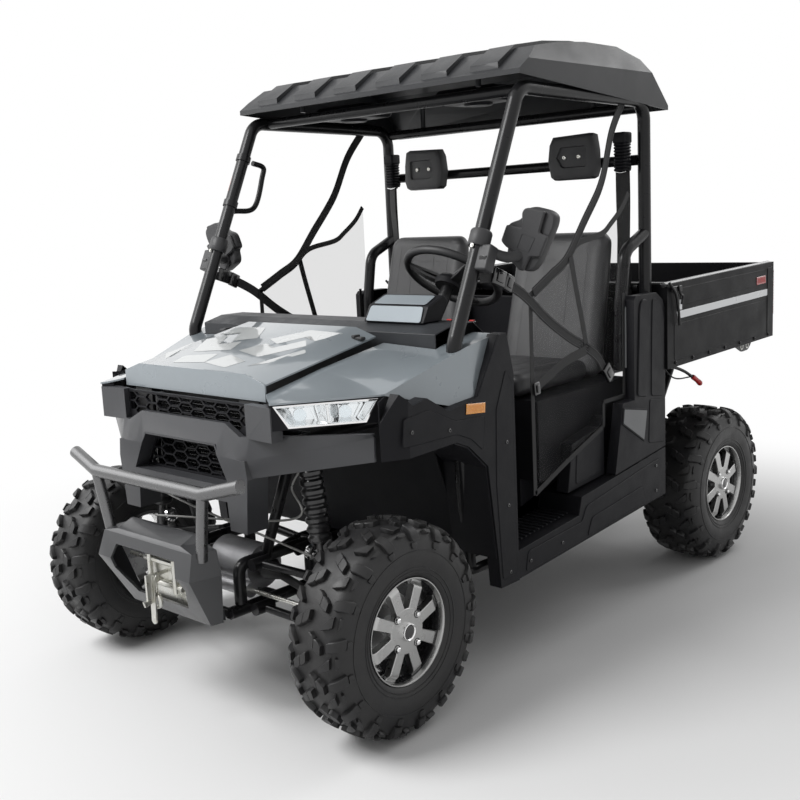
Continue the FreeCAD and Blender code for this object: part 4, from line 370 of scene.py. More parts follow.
def joined(parts):
    # several (points, face sets) put into one list of points and one of face sets
    points, faceSets, start = [], [], 0
    for place, faces in parts:
        place = along(place).reshape(-1, 3)
        points.append(place)
        faceSets += [np.asarray(group, np.int64) + start for group in faces if len(group)]
        start += len(place)
    return np.concatenate(points), faceSets


def gridFaces(rows, columns, roundRows=False, roundColumns=False):
    # quads between neighbours of a rows by columns grid, closed round either way if asked
    down = np.arange(rows if roundRows else rows - 1)
    over = np.arange(columns if roundColumns else columns - 1)
    i, j = np.meshgrid(down, over, indexing="ij")
    k, m = (i + 1) % rows, (j + 1) % columns
    return np.stack([i * columns + j, i * columns + m, k * columns + m, k * columns + j], -1).reshape(-1, 4)


def swept(rings, closed=False):
    # rings is (count, corners, 3): neighbouring rings are joined, and the two ends are filled unless closed
    count, corners = rings.shape[:2]
    faces = [gridFaces(count, corners, closed, True)]
    if not closed:
        first = np.arange(corners)
        faces.append(np.stack([first[::-1], first + (count - 1) * corners]))
    return rings.reshape(-1, 3), faces


def curve(points, count):
    # Catmull-Rom: through every point, its slope there half the step between its neighbours
    points = along(points)
    ahead = np.concatenate([[2 * points[0] - points[1]], points, [2 * points[-1] - points[-2]]])
    place = np.linspace(0, len(points) - 1, count)
    i = np.minimum(place.astype(int), len(points) - 2)
    t = (place - i)[:, None]
    a, b, c, d = ahead[i], ahead[i + 1], ahead[i + 2], ahead[i + 3]
    return 0.5 * (2 * b + (c - a) * t + (2 * a - 5 * b + 4 * c - d) * t ** 2
                  + (3 * b - a - 3 * c + d) * t ** 3)


def frameAlong(path, up):
    # at each point of a path: a side square to its direction and to up, and the axis square to both
    path = along(path)
    ahead = np.gradient(path, axis=0)
    ahead /= np.linalg.norm(ahead, axis=1, keepdims=True) + 1e-12
    side = np.cross(ahead, along(up))
    side /= np.linalg.norm(side, axis=1, keepdims=True) + 1e-12
    return side, np.cross(side, ahead)


def tube(path, radius, sides):
    # a circle carried along the path; radius may change from point to point
    path = along(path)
    side, over = frameAlong(path, (0.13, 0.21, 0.97))
    turn = np.linspace(0, 2 * math.pi, sides, endpoint=False)
    size = np.broadcast_to(along(radius), (len(path),))[:, None, None]
    rings = (path[:, None] + size * (np.cos(turn)[None, :, None] * side[:, None]
                                     + np.sin(turn)[None, :, None] * over[:, None]))
    return swept(rings)


def strap(path, width, thick, across):
    # a flat rectangle carried along the path, its width lying along the given direction
    path = along(path)
    ahead = np.gradient(path, axis=0)
    ahead /= np.linalg.norm(ahead, axis=1, keepdims=True) + 1e-12
    wide = np.broadcast_to(along(across), path.shape)
    wide = wide - (wide * ahead).sum(1, keepdims=True) * ahead
    wide = wide / (np.linalg.norm(wide, axis=1, keepdims=True) + 1e-12)
    out = np.cross(ahead, wide)
    corners = along([(-0.5, -0.5), (0.5, -0.5), (0.5, 0.5), (-0.5, 0.5)])
    flat = corners[None, :, :1] * width * wide[:, None]
    deep = corners[None, :, 1:] * thick * out[:, None]
    return swept(path[:, None] + flat + deep)


def lathe(profile, centre, axis=(1, 0, 0), sides=96, closed=False):
    # (place along the axis, radius) pairs turned round the axis
    axis = along(axis) / np.linalg.norm(axis)
    first = np.cross(axis, (0, 0.2, 1) if abs(axis[2]) < 0.9 else (1, 0, 0))
    first /= np.linalg.norm(first)
    second = np.cross(axis, first)
    turn = np.linspace(0, 2 * math.pi, sides, endpoint=False)
    profile = along(profile)
    spoke = np.cos(turn)[:, None] * first + np.sin(turn)[:, None] * second
    rings = (along(centre) + profile[:, None, :1] * axis + profile[:, None, 1:] * spoke[None])
    return swept(rings, closed)


def roundedBox(centre, size, radius, axes=np.eye(3), steps=5):
    # a sphere's eight octants pulled apart to the corners of a box: p = r n + sign(n) (half - r)
    half = along(size) / 2 - radius
    quarter = np.linspace(0, math.pi / 2, steps)
    lon = np.concatenate([quarter + math.pi / 2 * k for k in range(4)])
    lonSign = np.repeat(along([(1, 1), (-1, 1), (-1, -1), (1, -1)]), steps, 0)
    lat = np.concatenate([quarter - math.pi / 2, quarter])
    latSign = np.repeat([-1.0, 1.0], steps)
    flat = np.cos(lat)[:, None]
    ball = np.stack([flat * np.cos(lon), flat * np.sin(lon), np.repeat(np.sin(lat)[:, None], len(lon), 1)],
                    -1)
    sign = np.stack([np.repeat(lonSign[None, :, 0], len(lat), 0), np.repeat(lonSign[None, :, 1], len(lat), 0),
                     np.repeat(latSign[:, None], len(lon), 1)], -1)
    rings = (radius * ball + sign * half) @ along(axes) + along(centre)
    return swept(rings)


def plate(outline, origin, across, up, depth, chamfer=0.0):
    # a flat outline given depth along across x up, its rims cut back by the chamfer
    outline = along(outline)
    before, after = np.roll(outline, 1, 0), np.roll(outline, -1, 0)
    first, second = outline - before, after - outline
    first /= np.linalg.norm(first, axis=1, keepdims=True)
    second /= np.linalg.norm(second, axis=1, keepdims=True)
    turnSign = np.sign((outline[:, 0] * (after[:, 1] - before[:, 1])).sum())
    inward = np.stack([-(first + second)[:, 1], (first + second)[:, 0]], -1) * turnSign
    inward /= (1 + (first * second).sum(1, keepdims=True))
    across, up = along(across), along(up)
    ahead = np.cross(across, up)
    levels = [(0, 0), (depth, 0)]
    if chamfer:
        levels = [(0, chamfer), (chamfer, 0), (depth - chamfer, 0), (depth, chamfer)]
    rings = np.stack([along(origin) + (outline + inward * inset)[:, :1] * across
                      + (outline + inward * inset)[:, 1:] * up + level * ahead for level, inset in levels])
    return swept(rings)


def repeated(part, moves):
    # the part copied by every 3 by 4 matrix of moves in one step
    points, faceSets = part
    moves = along(moves)
    placed = np.einsum("nij,pj->npi", moves[:, :, :3], points) + moves[:, None, :, 3]
    shift = (np.arange(len(moves)) * len(points))[:, None, None]
    return placed.reshape(-1, 3), [(faces[None] + shift).reshape(-1, faces.shape[1]) for faces in faceSets]


def facing(places, direction):
    # moves that put a part made round Z at each place, turned to look along the direction
    places, direction = along(places).reshape(-1, 3), along(direction)
    direction = np.broadcast_to(direction, places.shape) / np.linalg.norm(direction, axis=-1, keepdims=True)
    rough = np.where(np.abs(direction[:, 2:]) > 0.9, along([1.0, 0, 0]), along([0, 0, 1.0]))
    side = np.cross(rough, direction)
    side /= np.linalg.norm(side, axis=1, keepdims=True)
    return np.stack([side, np.cross(direction, side), direction, places], -1)


def hexBolt(radius, height):
    # a hexagon head with a chamfered crown on a round washer, standing on Z = 0
    turn = np.linspace(0, 2 * math.pi, 12, endpoint=False)
    ring = np.stack([np.cos(turn), np.sin(turn)], -1)
    six = np.where(np.arange(12) % 2, 0.866, 1.0)[:, None] * ring
    levels = [(ring, 1.45, 0), (ring, 1.45, 0.25), (six, 1.0, 0.26), (six, 1.0, 0.85), (ring, 0.8, 1.0)]
    rings = np.stack([np.concatenate([shape * radius * wide, np.full((12, 1), height * up)], 1)
                      for shape, wide, up in levels])
    return swept(rings)


def screwHead(radius, height):
    # a round low head with a socket sunk in its middle
    return lathe([(0, radius), (height * 0.6, radius), (height, radius * 0.75), (height, radius * 0.4),
                  (height * 0.4, radius * 0.36)], (0, 0, 0), (0, 0, 1), 14)


def boltSet(name, places, direction, body=chassis, radius=0.008, finish="zinc", part=hexBolt, slot="zinc"):
    made = repeated(part(radius, radius * 0.7), facing(places, direction))
    return settle(name, meshFrom(name, *made), finish, body, slot=slot)


def bothSides(points):
    # each place and its twin across the centre plane
    points = along(points).reshape(-1, 3)
    return np.concatenate([points, points * (-1, 1, 1)])


def softened(node, width, finish=None):
    # a copy of a CAD node with its doubles merged, its flat faces made whole and its edges rounded
    mesh = nodes[node].data.copy()
    mesh.name = node + "_rounded"
    mesh.materials.clear()
    work = bmesh.new()
    work.from_mesh(mesh)
    bmesh.ops.remove_doubles(work, verts=work.verts, dist=0.00003)
    bmesh.ops.dissolve_limit(work, angle_limit=math.radians(1.5), verts=work.verts, edges=work.edges)
    work.to_mesh(mesh)
    work.free()
    return settle(node + "_rounded", mesh, finish or slotOf[node], bodyOf[node], 30, width, (node,),
                  tidy=False)


def corners(node):
    low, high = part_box(node)
    return along(low), along(high)


def twinned(part):
    # the same part and its mirror image across the centre plane
    points, faceSets = part
    return joined([part, (along(points) * (-1, 1, 1), faceSets)])


def piece(name, parts, finish, body=chassis, slot=None, both=False, **rest):
    # several parts made into one named object, with a twin on the other side if asked
    whole = joined(parts)
    return settle(name, meshFrom(name, *(twinned(whole) if both else whole)), finish, body, slot=slot, **rest)


def inPlane(outline, origin, across, up, depth):
    # flat (across, up) places put into space, raised by depth along across x up
    outline = along(outline)
    across, up = along(across), along(up)
    return along(origin) + outline[:, :1] * across + outline[:, 1:] * up + depth * np.cross(across, up)


# places are named by their distance behind the front axle
frontAxle = float(np.mean([low[1] for low in corners("front_left_tyre")]))
rearAxle = float(np.mean([low[1] for low in corners("rear_left_tyre")]))


def at(across, behind, height):
    return along((across, frontAxle + behind, height))


def filleted(outline, radius, steps):
    # each corner gives way to a quadratic arc that leaves its two edges a radius away
    outline = along(outline)
    radius = np.broadcast_to(along(radius), (len(outline),))[:, None]
    before, after = np.roll(outline, 1, 0) - outline, np.roll(outline, -1, 0) - outline
    first, second = (np.linalg.norm(edge, axis=1, keepdims=True) for edge in (before, after))
    start = outline + before / first * np.minimum(radius, first * 0.45)
    end = outline + after / second * np.minimum(radius, second * 0.45)
    t = np.linspace(0, 1, steps)[None, :, None]
    arcs = (1 - t) ** 2 * start[:, None] + 2 * t * (1 - t) * outline[:, None] + t ** 2 * end[:, None]
    return arcs.reshape(-1, 2)


def slab(outline, origin, across, up, depth, chamfer, radius=0.0):
    return plate(filleted(outline, radius, 4) if radius else outline, origin, across, up, depth, chamfer)


def sidePlate(outline, across, depth, chamfer, radius=0.0):
    # (behind the front axle, height) places on the left side, raised outward from the given distance
    return slab(along(outline) + (frontAxle, 0), (across, 0, 0), (0, 1, 0), (0, 0, 1), depth, chamfer, radius)


def surfaceOf(node):
    # a search tree over a CAD node's faces, to drop thin parts onto it
    mesh = nodes[node].data
    points = np.zeros(len(mesh.vertices) * 3)
    mesh.vertices.foreach_get("co", points)
    return BVHTree.FromPolygons(points.reshape(-1, 3).tolist(),
                                [list(face.vertices) for face in mesh.polygons])


def tyreTread(node, body):
    # a carcass turned from a smooth outline, and blocks laid over it by (turn, distance across the outline)
    tyre = {"lift": 0.015, "pitches": 17, "sink": 0.003, "carcassSides": 136, "ribs": (0.172, 0.183, 0.232)}
    low, high = corners(node)
    middle = (low + high) / 2
    half = (high[0] - low[0]) / 2
    crown = (high[2] - low[2]) / 2
    top = crown - tyre["lift"]
    edge = half - 0.006
    # outline from the outer bead over the crown's half: distance from the middle plane, and radius
    side = along([(edge - 0.018, 0.1545), (edge - 0.010, 0.166), (edge - 0.003, 0.190), (edge, 0.215),
                  (edge - 0.002, 0.240), (edge - 0.008, top - 0.032), (edge - 0.018, top - 0.014),
                  (edge - 0.036, top - 0.004), (edge * 0.38, top - 0.0005), (0, top)])
    outer = curve(side, 40)
    inner = along([(0, top - 0.03), (half - 0.05, top - 0.034), (half - 0.034, 0.20), (half - 0.045, 0.1545)])
    right = np.concatenate([outer, inner])
    left = right[::-1] * (-1, 1)
    ring = np.concatenate([outer, left[len(inner):][1:], left[:len(inner)], inner[1:]])
    parts = [lathe(ring, middle, sides=tyre["carcassSides"], closed=True)]
    # distance walked along the outline from the middle plane, used to lay the blocks
    walk = outer[::-1]
    length = np.concatenate([[0], np.cumsum(np.linalg.norm(np.diff(walk, axis=0), axis=1))])
    slope = np.gradient(walk, axis=0)
    slope /= np.linalg.norm(slope, axis=1, keepdims=True)
    outward = np.stack([-slope[:, 1], slope[:, 0]], -1)
    outward *= np.sign(outward[:, 1:] + 1e-9)[:1]
    shoulder = length[np.argmin(np.abs(walk[:, 1] - (top - 0.014)))]
    step = 2 * math.pi / tyre["pitches"]

    def block(start, end, skewStart, skewEnd, wideStart, wideEnd, bend=0.0, height=1.0, bars=6):
        # a bar from start to end across, its centre line leaning and its width easing between two values
        across = np.linspace(start, end, bars)
        share = np.linspace(0, 1, bars)
        place = np.stack([np.interp(across, length, walk[:, k]) for k in (0, 1)], -1)
        lift = np.stack([np.interp(across, length, outward[:, k]) for k in (0, 1)], -1)
        lean = skewStart + (skewEnd - skewStart) * share + bend * np.sin(share * math.pi)
        wide = wideStart + (wideEnd - wideStart) * share
        fade = np.clip((length[-1] * 0.86 - across) / (length[-1] * 0.86 - shoulder), 0.35, 1)
        rise = np.minimum(tyre["lift"] * height * fade, crown - place[:, 1])
        sides = along([(-0.58, -tyre["sink"]), (-0.5, 0.86), (-0.42, 1.0), (0.42, 1.0), (0.5, 0.86),
                       (0.58, -tyre["sink"])])
        up = np.where(sides[None, :, 1] < 0, sides[None, :, 1], sides[None, :, 1] * rise[:, None])
        rows = place[:, None] + lift[:, None] * up[..., None]
        ends = np.ones(bars)
        ends[[0, -1]] = 0.82
        turn = (lean[:, None] + sides[None, :, 0] * (wide * ends)[:, None]) / crown
        rows[..., 0] = np.clip(rows[..., 0], None, half - 0.0006)
        return rows, turn

    def placed(shape, hand, offset):
        rows, turn = shape
        turns = (np.arange(tyre["pitches"]) * step + offset)[:, None, None] + turn[None]
        radius = np.broadcast_to(rows[None, ..., 1], turns.shape)
        spot = np.stack([np.broadcast_to(rows[None, ..., 0] * hand, turns.shape), radius * np.cos(turns),
                         radius * np.sin(turns)], -1) + middle
        count, bars, sides = turns.shape
        faces = [gridFaces(bars, sides, False, True)]
        ring = np.arange(sides)
        faces.append(np.stack([ring[::-1], ring + (bars - 1) * sides]))
        shift = (np.arange(count) * bars * sides)[:, None, None]
        return spot.reshape(-1, 3), [(group[None] + shift).reshape(-1, group.shape[1]) for group in faces]

    reach = shoulder
    end = length[-1]
    # beside the middle a bar cut by a thin slit, then a wedge; on the shoulder a long lug and a short one
    shapes = [block(0.004, reach * 0.29, -0.012, 0.002, 0.031, 0.033),
              block(reach * 0.31, reach * 0.58, 0.003, 0.017, 0.033, 0.030),
              block(reach * 0.50, reach * 0.86, 0.074, 0.050, 0.012, 0.036),
              block(reach * 0.76, end * 0.50, 0.006, -0.006, 0.028, 0.036, 0, 0.9, 10),
              block(reach * 1.0, end * 0.42, 0.052, 0.046, 0.034, 0.022, 0, 0.8, 7),
              block(end * 0.52, end * 0.60, 0.0, 0.0, 0.030, 0.022, 0, 0.55, 4)]
    for hand, offset in ((1, 0.0), (-1, step / 2)):
        for shape in shapes:
            parts.append(placed(shape, hand, offset))
    # three thin ribs round each sidewall
    for radius in tyre["ribs"]:
        spot = np.interp(radius, outer[:26, 1], outer[:26, 0])
        for hand in (1, -1):
            parts.append(lathe([((spot + 0.0016) * hand, radius - 0.0015),
                                ((spot + 0.0016) * hand, radius + 0.0015),
                                ((spot - 0.004) * hand, radius + 0.003),
                                ((spot - 0.004) * hand, radius - 0.003)], middle, sides=96, closed=True))
    return piece(node + "_tread", parts, "tyre", body, smooth=34, replaces=(node,))


def wheelRim(name, body):
    # a deep black barrel behind eight machined spokes, each bent over where it meets the bright outer ring
    rim = {"spokes": 8, "hub": 0.052, "spokeWidth": 0.032, "dish": 0.007, "nuts": 4, "nutCircle": 0.058,
           "bend": 0.126}
    node = name + "_rim"
    low, high = corners(node)
    middle = (low + high) / 2
    hand = 1 if middle[0] > 0 else -1
    out = (high[0] - low[0]) / 2
    radius = (high[2] - low[2]) / 2
    axis = (hand, 0, 0)
    inner = radius - 0.010
    barrel = lathe([(out - 0.001, radius - 0.0015), (out - 0.004, radius), (out - 0.018, radius - 0.004),
                    (out - 0.032, radius - 0.016), (-out + 0.02, radius - 0.018),
                    (-out + 0.004, radius - 0.002), (-out + 0.001, radius - 0.002),
                    (-out + 0.001, inner - 0.004), (-out + 0.02, inner - 0.012), (out - 0.075, inner - 0.016),
                    (out - 0.050, inner - 0.010), (out - 0.020, inner - 0.002),
                    (out - 0.008, radius - 0.007)], middle, axis, 96, True)
    piece(name + "_barrel", [barrel], "rimBlack", body, smooth=40, replaces=(node,))
    ring = lathe([(out, radius - 0.0030), (out, radius - 0.0062), (out - 0.004, radius - 0.0085),
                  (out - 0.019, radius - 0.0105), (out - 0.020, radius - 0.0030)], middle, axis, 128, True)
    face = out - rim["dish"]
    reach = np.linspace(rim["hub"] - 0.016, inner - 0.002, 26)
    edge = reach / reach[-1]
    near = np.exp(-((reach - reach[0] - 0.010) / 0.013) ** 2)
    far = np.clip((reach - rim["bend"]) / (reach[-1] - rim["bend"]), 0, 1)
    width = rim["spokeWidth"] * (1 + 0.16 * edge ** 2) + 0.016 * near + 0.006 * far ** 2
    # the face is nearly level out to the bend, then drops to the ring
    level = face - 0.003 * edge - 0.010 * np.clip((reach - rim["bend"]) / 0.012, 0, 1) ** 1.4
    shape = along([(-0.5, -0.024), (-0.5, -0.0016), (-0.46, 0), (0.46, 0), (0.5, -0.0016), (0.5, -0.024)])
    turns = np.arange(rim["spokes"]) * 2 * math.pi / rim["spokes"] + 0.32
    across = width[:, None] * shape[None, :, 0]
    depths = level[:, None] + shape[None, :, 1]
    parts = [ring]
    y = np.broadcast_to(reach[:, None], across.shape)
    for turn in turns:
        rings = np.stack([middle[0] + hand * depths, middle[1] + y * math.cos(turn) - across * math.sin(turn),
                          middle[2] + y * math.sin(turn) + across * math.cos(turn)], -1)
        parts.append(swept(rings))
    hub = lathe([(face - 0.024, 0.006), (face - 0.024, 0.060), (face - 0.0022, 0.066),
                 (face - 0.0008, 0.0645), (face - 0.0004, 0.040), (face - 0.0004, 0.006)], middle, axis, 64,
                True)
    parts.append(hub)
    piece(name + "_spokes", parts, "machined_rim", body, "machined_rim", smooth=30)
    cap = lathe([(face - 0.004, 0.026), (face + 0.004, 0.027), (face + 0.0105, 0.0245),
                 (face + 0.0115, 0.0225), (face + 0.0085, 0.0200), (face - 0.004, 0.0185)], middle, axis, 48,
                True)
    piece(name + "_cap_ring", [cap], "chrome", body, "zinc", smooth=30)
    plug = lathe([(face - 0.006, 0.0188), (face + 0.0085, 0.0188), (face + 0.0100, 0.0120),
                  (face + 0.0103, 0.002)], middle, axis, 40)
    wells = []
    nuts = []
    spots = turns[::rim["spokes"] // rim["nuts"]] + math.pi / rim["spokes"]
    places = middle + np.stack([np.full(rim["nuts"], hand * face), rim["nutCircle"] * np.cos(spots),
                                rim["nutCircle"] * np.sin(spots)], -1)
    for place in places:
        wells.append(lathe([(-0.004, 0.0115), (0.0006, 0.0120), (0.0006, 0.0095), (-0.0035, 0.0085)], place,
                           axis, 24, True))
        nuts.append(lathe([(-0.004, 0.0075), (0.0065, 0.0078), (0.0090, 0.0055), (0.0095, 0.001)], place,
                          axis, 6))
    piece(name + "_cap_plug", [plug] + wells, "rimBlack", body, "machined_rim", smooth=30)
    piece(name + "_nuts", nuts, "chrome", body, "zinc", smooth=30)
    # the brake disc behind the spokes
    disc = lathe([(face - 0.075, 0.03), (face - 0.075, 0.098), (face - 0.080, 0.098), (face - 0.080, 0.03)],
                 middle, axis, 64, True)
    piece(name + "_disc", [disc], "bare_steel", body, "zinc", smooth=30)


for corner in ("front_left", "front_right", "rear_left", "rear_right"):
    tyreTread(corner + "_tyre", corner + "_wheel")
    wheelRim(corner, corner + "_wheel")
print("stage: wheels")

for name, width in (("hood", 0.004), ("front_fenders", 0.006), ("front_fascia", 0.006),
                    ("fender_panels", 0.004), ("quarter_panels", 0.005), ("sills", 0.006),
                    ("seat_cheeks", 0.006), ("dashboard", 0.005), ("instrument_pod", 0.006),
                    ("winch_bumper", 0.004), ("bed", 0.004), ("tailgate", 0.003), ("seat_box", 0.004),
                    ("rear_bulkhead", 0.003), ("floor_pan", 0.003), ("wheel_liners", 0.003),
                    ("grilles", 0.001), ("gearcases", 0.004), ("engine", 0.01), ("skid_plate", 0.002),
                    ("hitch_receiver", 0.002)):
    softened(name, width)
softened("roof", 0.009, finish="roofShell")
print("stage: rounded panels")


def headlight():
    # a black pocket, two bright faceted bowls, a chrome bezel and a clear pane between the wing and the nose
    lamp = {"inner": (0.416, -0.207), "outer": (0.605, 0.052), "pocket": 0.042, "bezel": 0.006, "pane": 0.003}
    low, high = corners("headlights")
    start = at(*lamp["inner"], low[2])
    end = at(*lamp["outer"], low[2])
    length = np.linalg.norm(end - start)
    across = (end - start) / length
    up = along((0, 0, 1))
    tall = high[2] - low[2]
    # across x up points out of the lamp, to the front and the left
    block = along([(0, 0), (length, 0), (length, tall), (0, tall)])
    mouth = along([(0.050, 0.004), (length - 0.052, 0.004), (length - 0.016, tall - 0.003),
                   (0.010, tall - 0.003)])
    middle = mouth.mean(0)

    def shrunk(outline, by):
        return middle + (outline - middle) * (1 - by / along([length / 2, tall / 2]))

    def loops(levels):
        return np.stack([inPlane(outline, start, across, up, depth) for outline, depth in levels])

    pocket = swept(loops([(shrunk(mouth, 0.006), -lamp["pocket"] + 0.004), (shrunk(mouth, -0.0005), -0.002),
                          (block, -0.002), (block, -lamp["pocket"])]))
    piece("headlight_pockets", [pocket], "cab_plastic", slot="lens", both=True, replaces=("headlights",),
          bevel=0.001)
    bezel = swept(loops([(mouth, -0.002), (mouth, 0.0012), (shrunk(mouth, lamp["bezel"]), 0.0012),
                         (shrunk(mouth, lamp["bezel"] + 0.002), -0.012), (mouth, -0.012)]), True)
    bars = []
    inside = shrunk(mouth, lamp["bezel"] + 0.001)
    split = 0.52
    lowSplit = inside[0] + (inside[1] - inside[0]) * split
    highSplit = inside[3] + (inside[2] - inside[3]) * (split - 0.012)
    post = along([lowSplit - (0.003, 0), lowSplit + (0.004, 0), highSplit + (0.004, 0),
                  highSplit - (0.003, 0)])
    bars.append(swept(loops([(post, -0.030), (post, -0.001)])))
    piece("headlight_bezels", [bezel] + bars, "chrome", slot="lens", both=True, bevel=0.0006)
    bowls = []
    bulbs = []
    for rimPlaces in ((inside[0], lowSplit - (0.004, 0), highSplit - (0.004, 0), inside[3]),
                     (lowSplit + (0.005, 0), inside[1], inside[2], highSplit + (0.005, 0))):
        rim = along(rimPlaces)
        centre = rim.mean(0)
        inner = centre + (rim - centre) * (0.50, 0.62)
        outer = centre + (rim - centre) * 1.01
        bowls.append(swept(loops([(inner, -0.032), (centre + (rim - centre) * 0.97, -0.004), (outer, -0.004),
                                  (centre + (rim - centre) * 0.6, -0.035)])))
        # three upright flutes on the bowl's outer wall
        for share in (0.70, 0.80, 0.90):
            foot = rim[0] + (rim[1] - rim[0]) * share
            head = rim[3] + (rim[2] - rim[3]) * share
            flute = along([foot + (0, 0.004), foot + (0.006, 0.004), head + (0.006, -0.004),
                           head - (0, 0.004)])
            bowls.append(swept(loops([(flute, -0.030),
                                      (centre + (flute - centre) * (0.99, 0.9), -0.014 - 0.01 * share)])))
        spot = inPlane([centre - (0.010, 0.002)], start, across, up, -0.031)[0]
        bulbs.append(lathe([(0, 0.017), (0.010, 0.0185), (0.012, 0.0175), (0.013, 0.015), (0.019, 0.011),
                            (0.022, 0.005), (0.023, 0.001)], spot, np.cross(across, up), 28))
    piece("headlight_bowls", bowls, "reflector", slot="lens", both=True, smooth=20)
    piece("headlight_bulbs", bulbs, "clearGlass", slot="lens", both=True)
    pane = swept(loops([(shrunk(mouth, lamp["bezel"] - 0.001), -0.0005 - lamp["pane"]),
                        (shrunk(mouth, lamp["bezel"] - 0.001), 0.0002)]))
    piece("headlight_panes", [pane], "clearGlass", slot="lens", both=True, bevel=0.0005)
    print("stage: headlights")


headlight()


def reflectors():
    # amber on the front flares, red on the bed's rear corners, each with a frame and rows of small prisms
    mark = {"amber": {"place": (0.6962, 0.342, 0.889), "size": (0.088, 0.030), "tilt": -0.10},
            "red": {"place": (0.700, 2.274, 1.114), "size": (0.085, 0.032), "tilt": 0.03}, "prisms": (14, 5)}
    for label, finish, node, slot in (("amber", "amber", "front_fenders", "cab_plastic"),
                                      ("red", "redLens", "bed", "bed_plastic")):
        place, size, tilt = (mark[label][key] for key in ("place", "size", "tilt"))
        origin = at(*place)
        across = along((0, math.cos(tilt), math.sin(tilt)))
        up = along((0, -math.sin(tilt), math.cos(tilt)))
        wide, tall = size
        shape = [(-wide / 2, -tall / 2), (wide / 2, -tall / 2), (wide / 2, tall / 2), (-wide / 2, tall / 2)]
        holder = plate(shape, origin, across, up, 0.003, 0.001)
        field = along((wide - 0.010, tall - 0.008))
        u, v = np.meshgrid(*((np.arange(count) + 0.5) / count - 0.5 for count in mark["prisms"]))
        spots = np.stack([u.ravel(), v.ravel()], -1) * field
        pitch = field / mark["prisms"]
        pyramid = (along([(-pitch[0] / 2, -pitch[1] / 2, 0), (pitch[0] / 2, -pitch[1] / 2, 0),
                          (pitch[0] / 2, pitch[1] / 2, 0), (-pitch[0] / 2, pitch[1] / 2, 0), (0, 0, 0.0012)]),
                   [np.array([[3, 2, 1, 0]]), np.array([[0, 1, 4], [1, 2, 4], [2, 3, 4], [3, 0, 4]])])
        outward = np.cross(across, up)
        places = inPlane(spots, origin, across, up, 0.003)
        moves = np.stack([np.broadcast_to(across, places.shape), np.broadcast_to(up, places.shape),
                          np.broadcast_to(outward, places.shape), places], -1)
        piece(label + "_reflectors", [holder, repeated(pyramid, moves)], finish, bodyOf[node], slot, True,
              smooth=10)
    print("stage: reflectors")


reflectors()


def noseCheeks():
    # a dark panel from each lamp's outer end to the flare
    cheek = {"inner": (0.6065, 0.052), "outer": (0.6495, -0.016), "feet": (0.892, 0.870), "top": 0.962,
             "thick": 0.003}
    start, end = at(*cheek["inner"], 0), at(*cheek["outer"], 0)
    wide = np.linalg.norm(end - start)
    outline = [(0, cheek["feet"][0]), (wide, cheek["feet"][1]), (wide, cheek["top"]), (0, cheek["top"])]
    panel = slab(outline, start, (end - start) / wide, (0, 0, 1), cheek["thick"], 0.001)
    piece("nose_cheeks", [panel], "cab_plastic", slot="lens", both=True)
    print("stage: nose cheeks")


noseCheeks()


def onSide(places, across, count, shift):
    # a smooth path through (behind the front axle, height) places on an upright plane beside the cab
    places = along(places)
    return curve(np.stack([np.full(len(places), across + shift), frontAxle + places[:, 0], places[:, 1]], -1),
                 count)


def webbing(path, width, thick, normal=(1, 0, 0)):
    # a strap whose face looks along the normal
    return strap(path, width, thick, np.cross(np.gradient(along(path), axis=0), along(normal)))


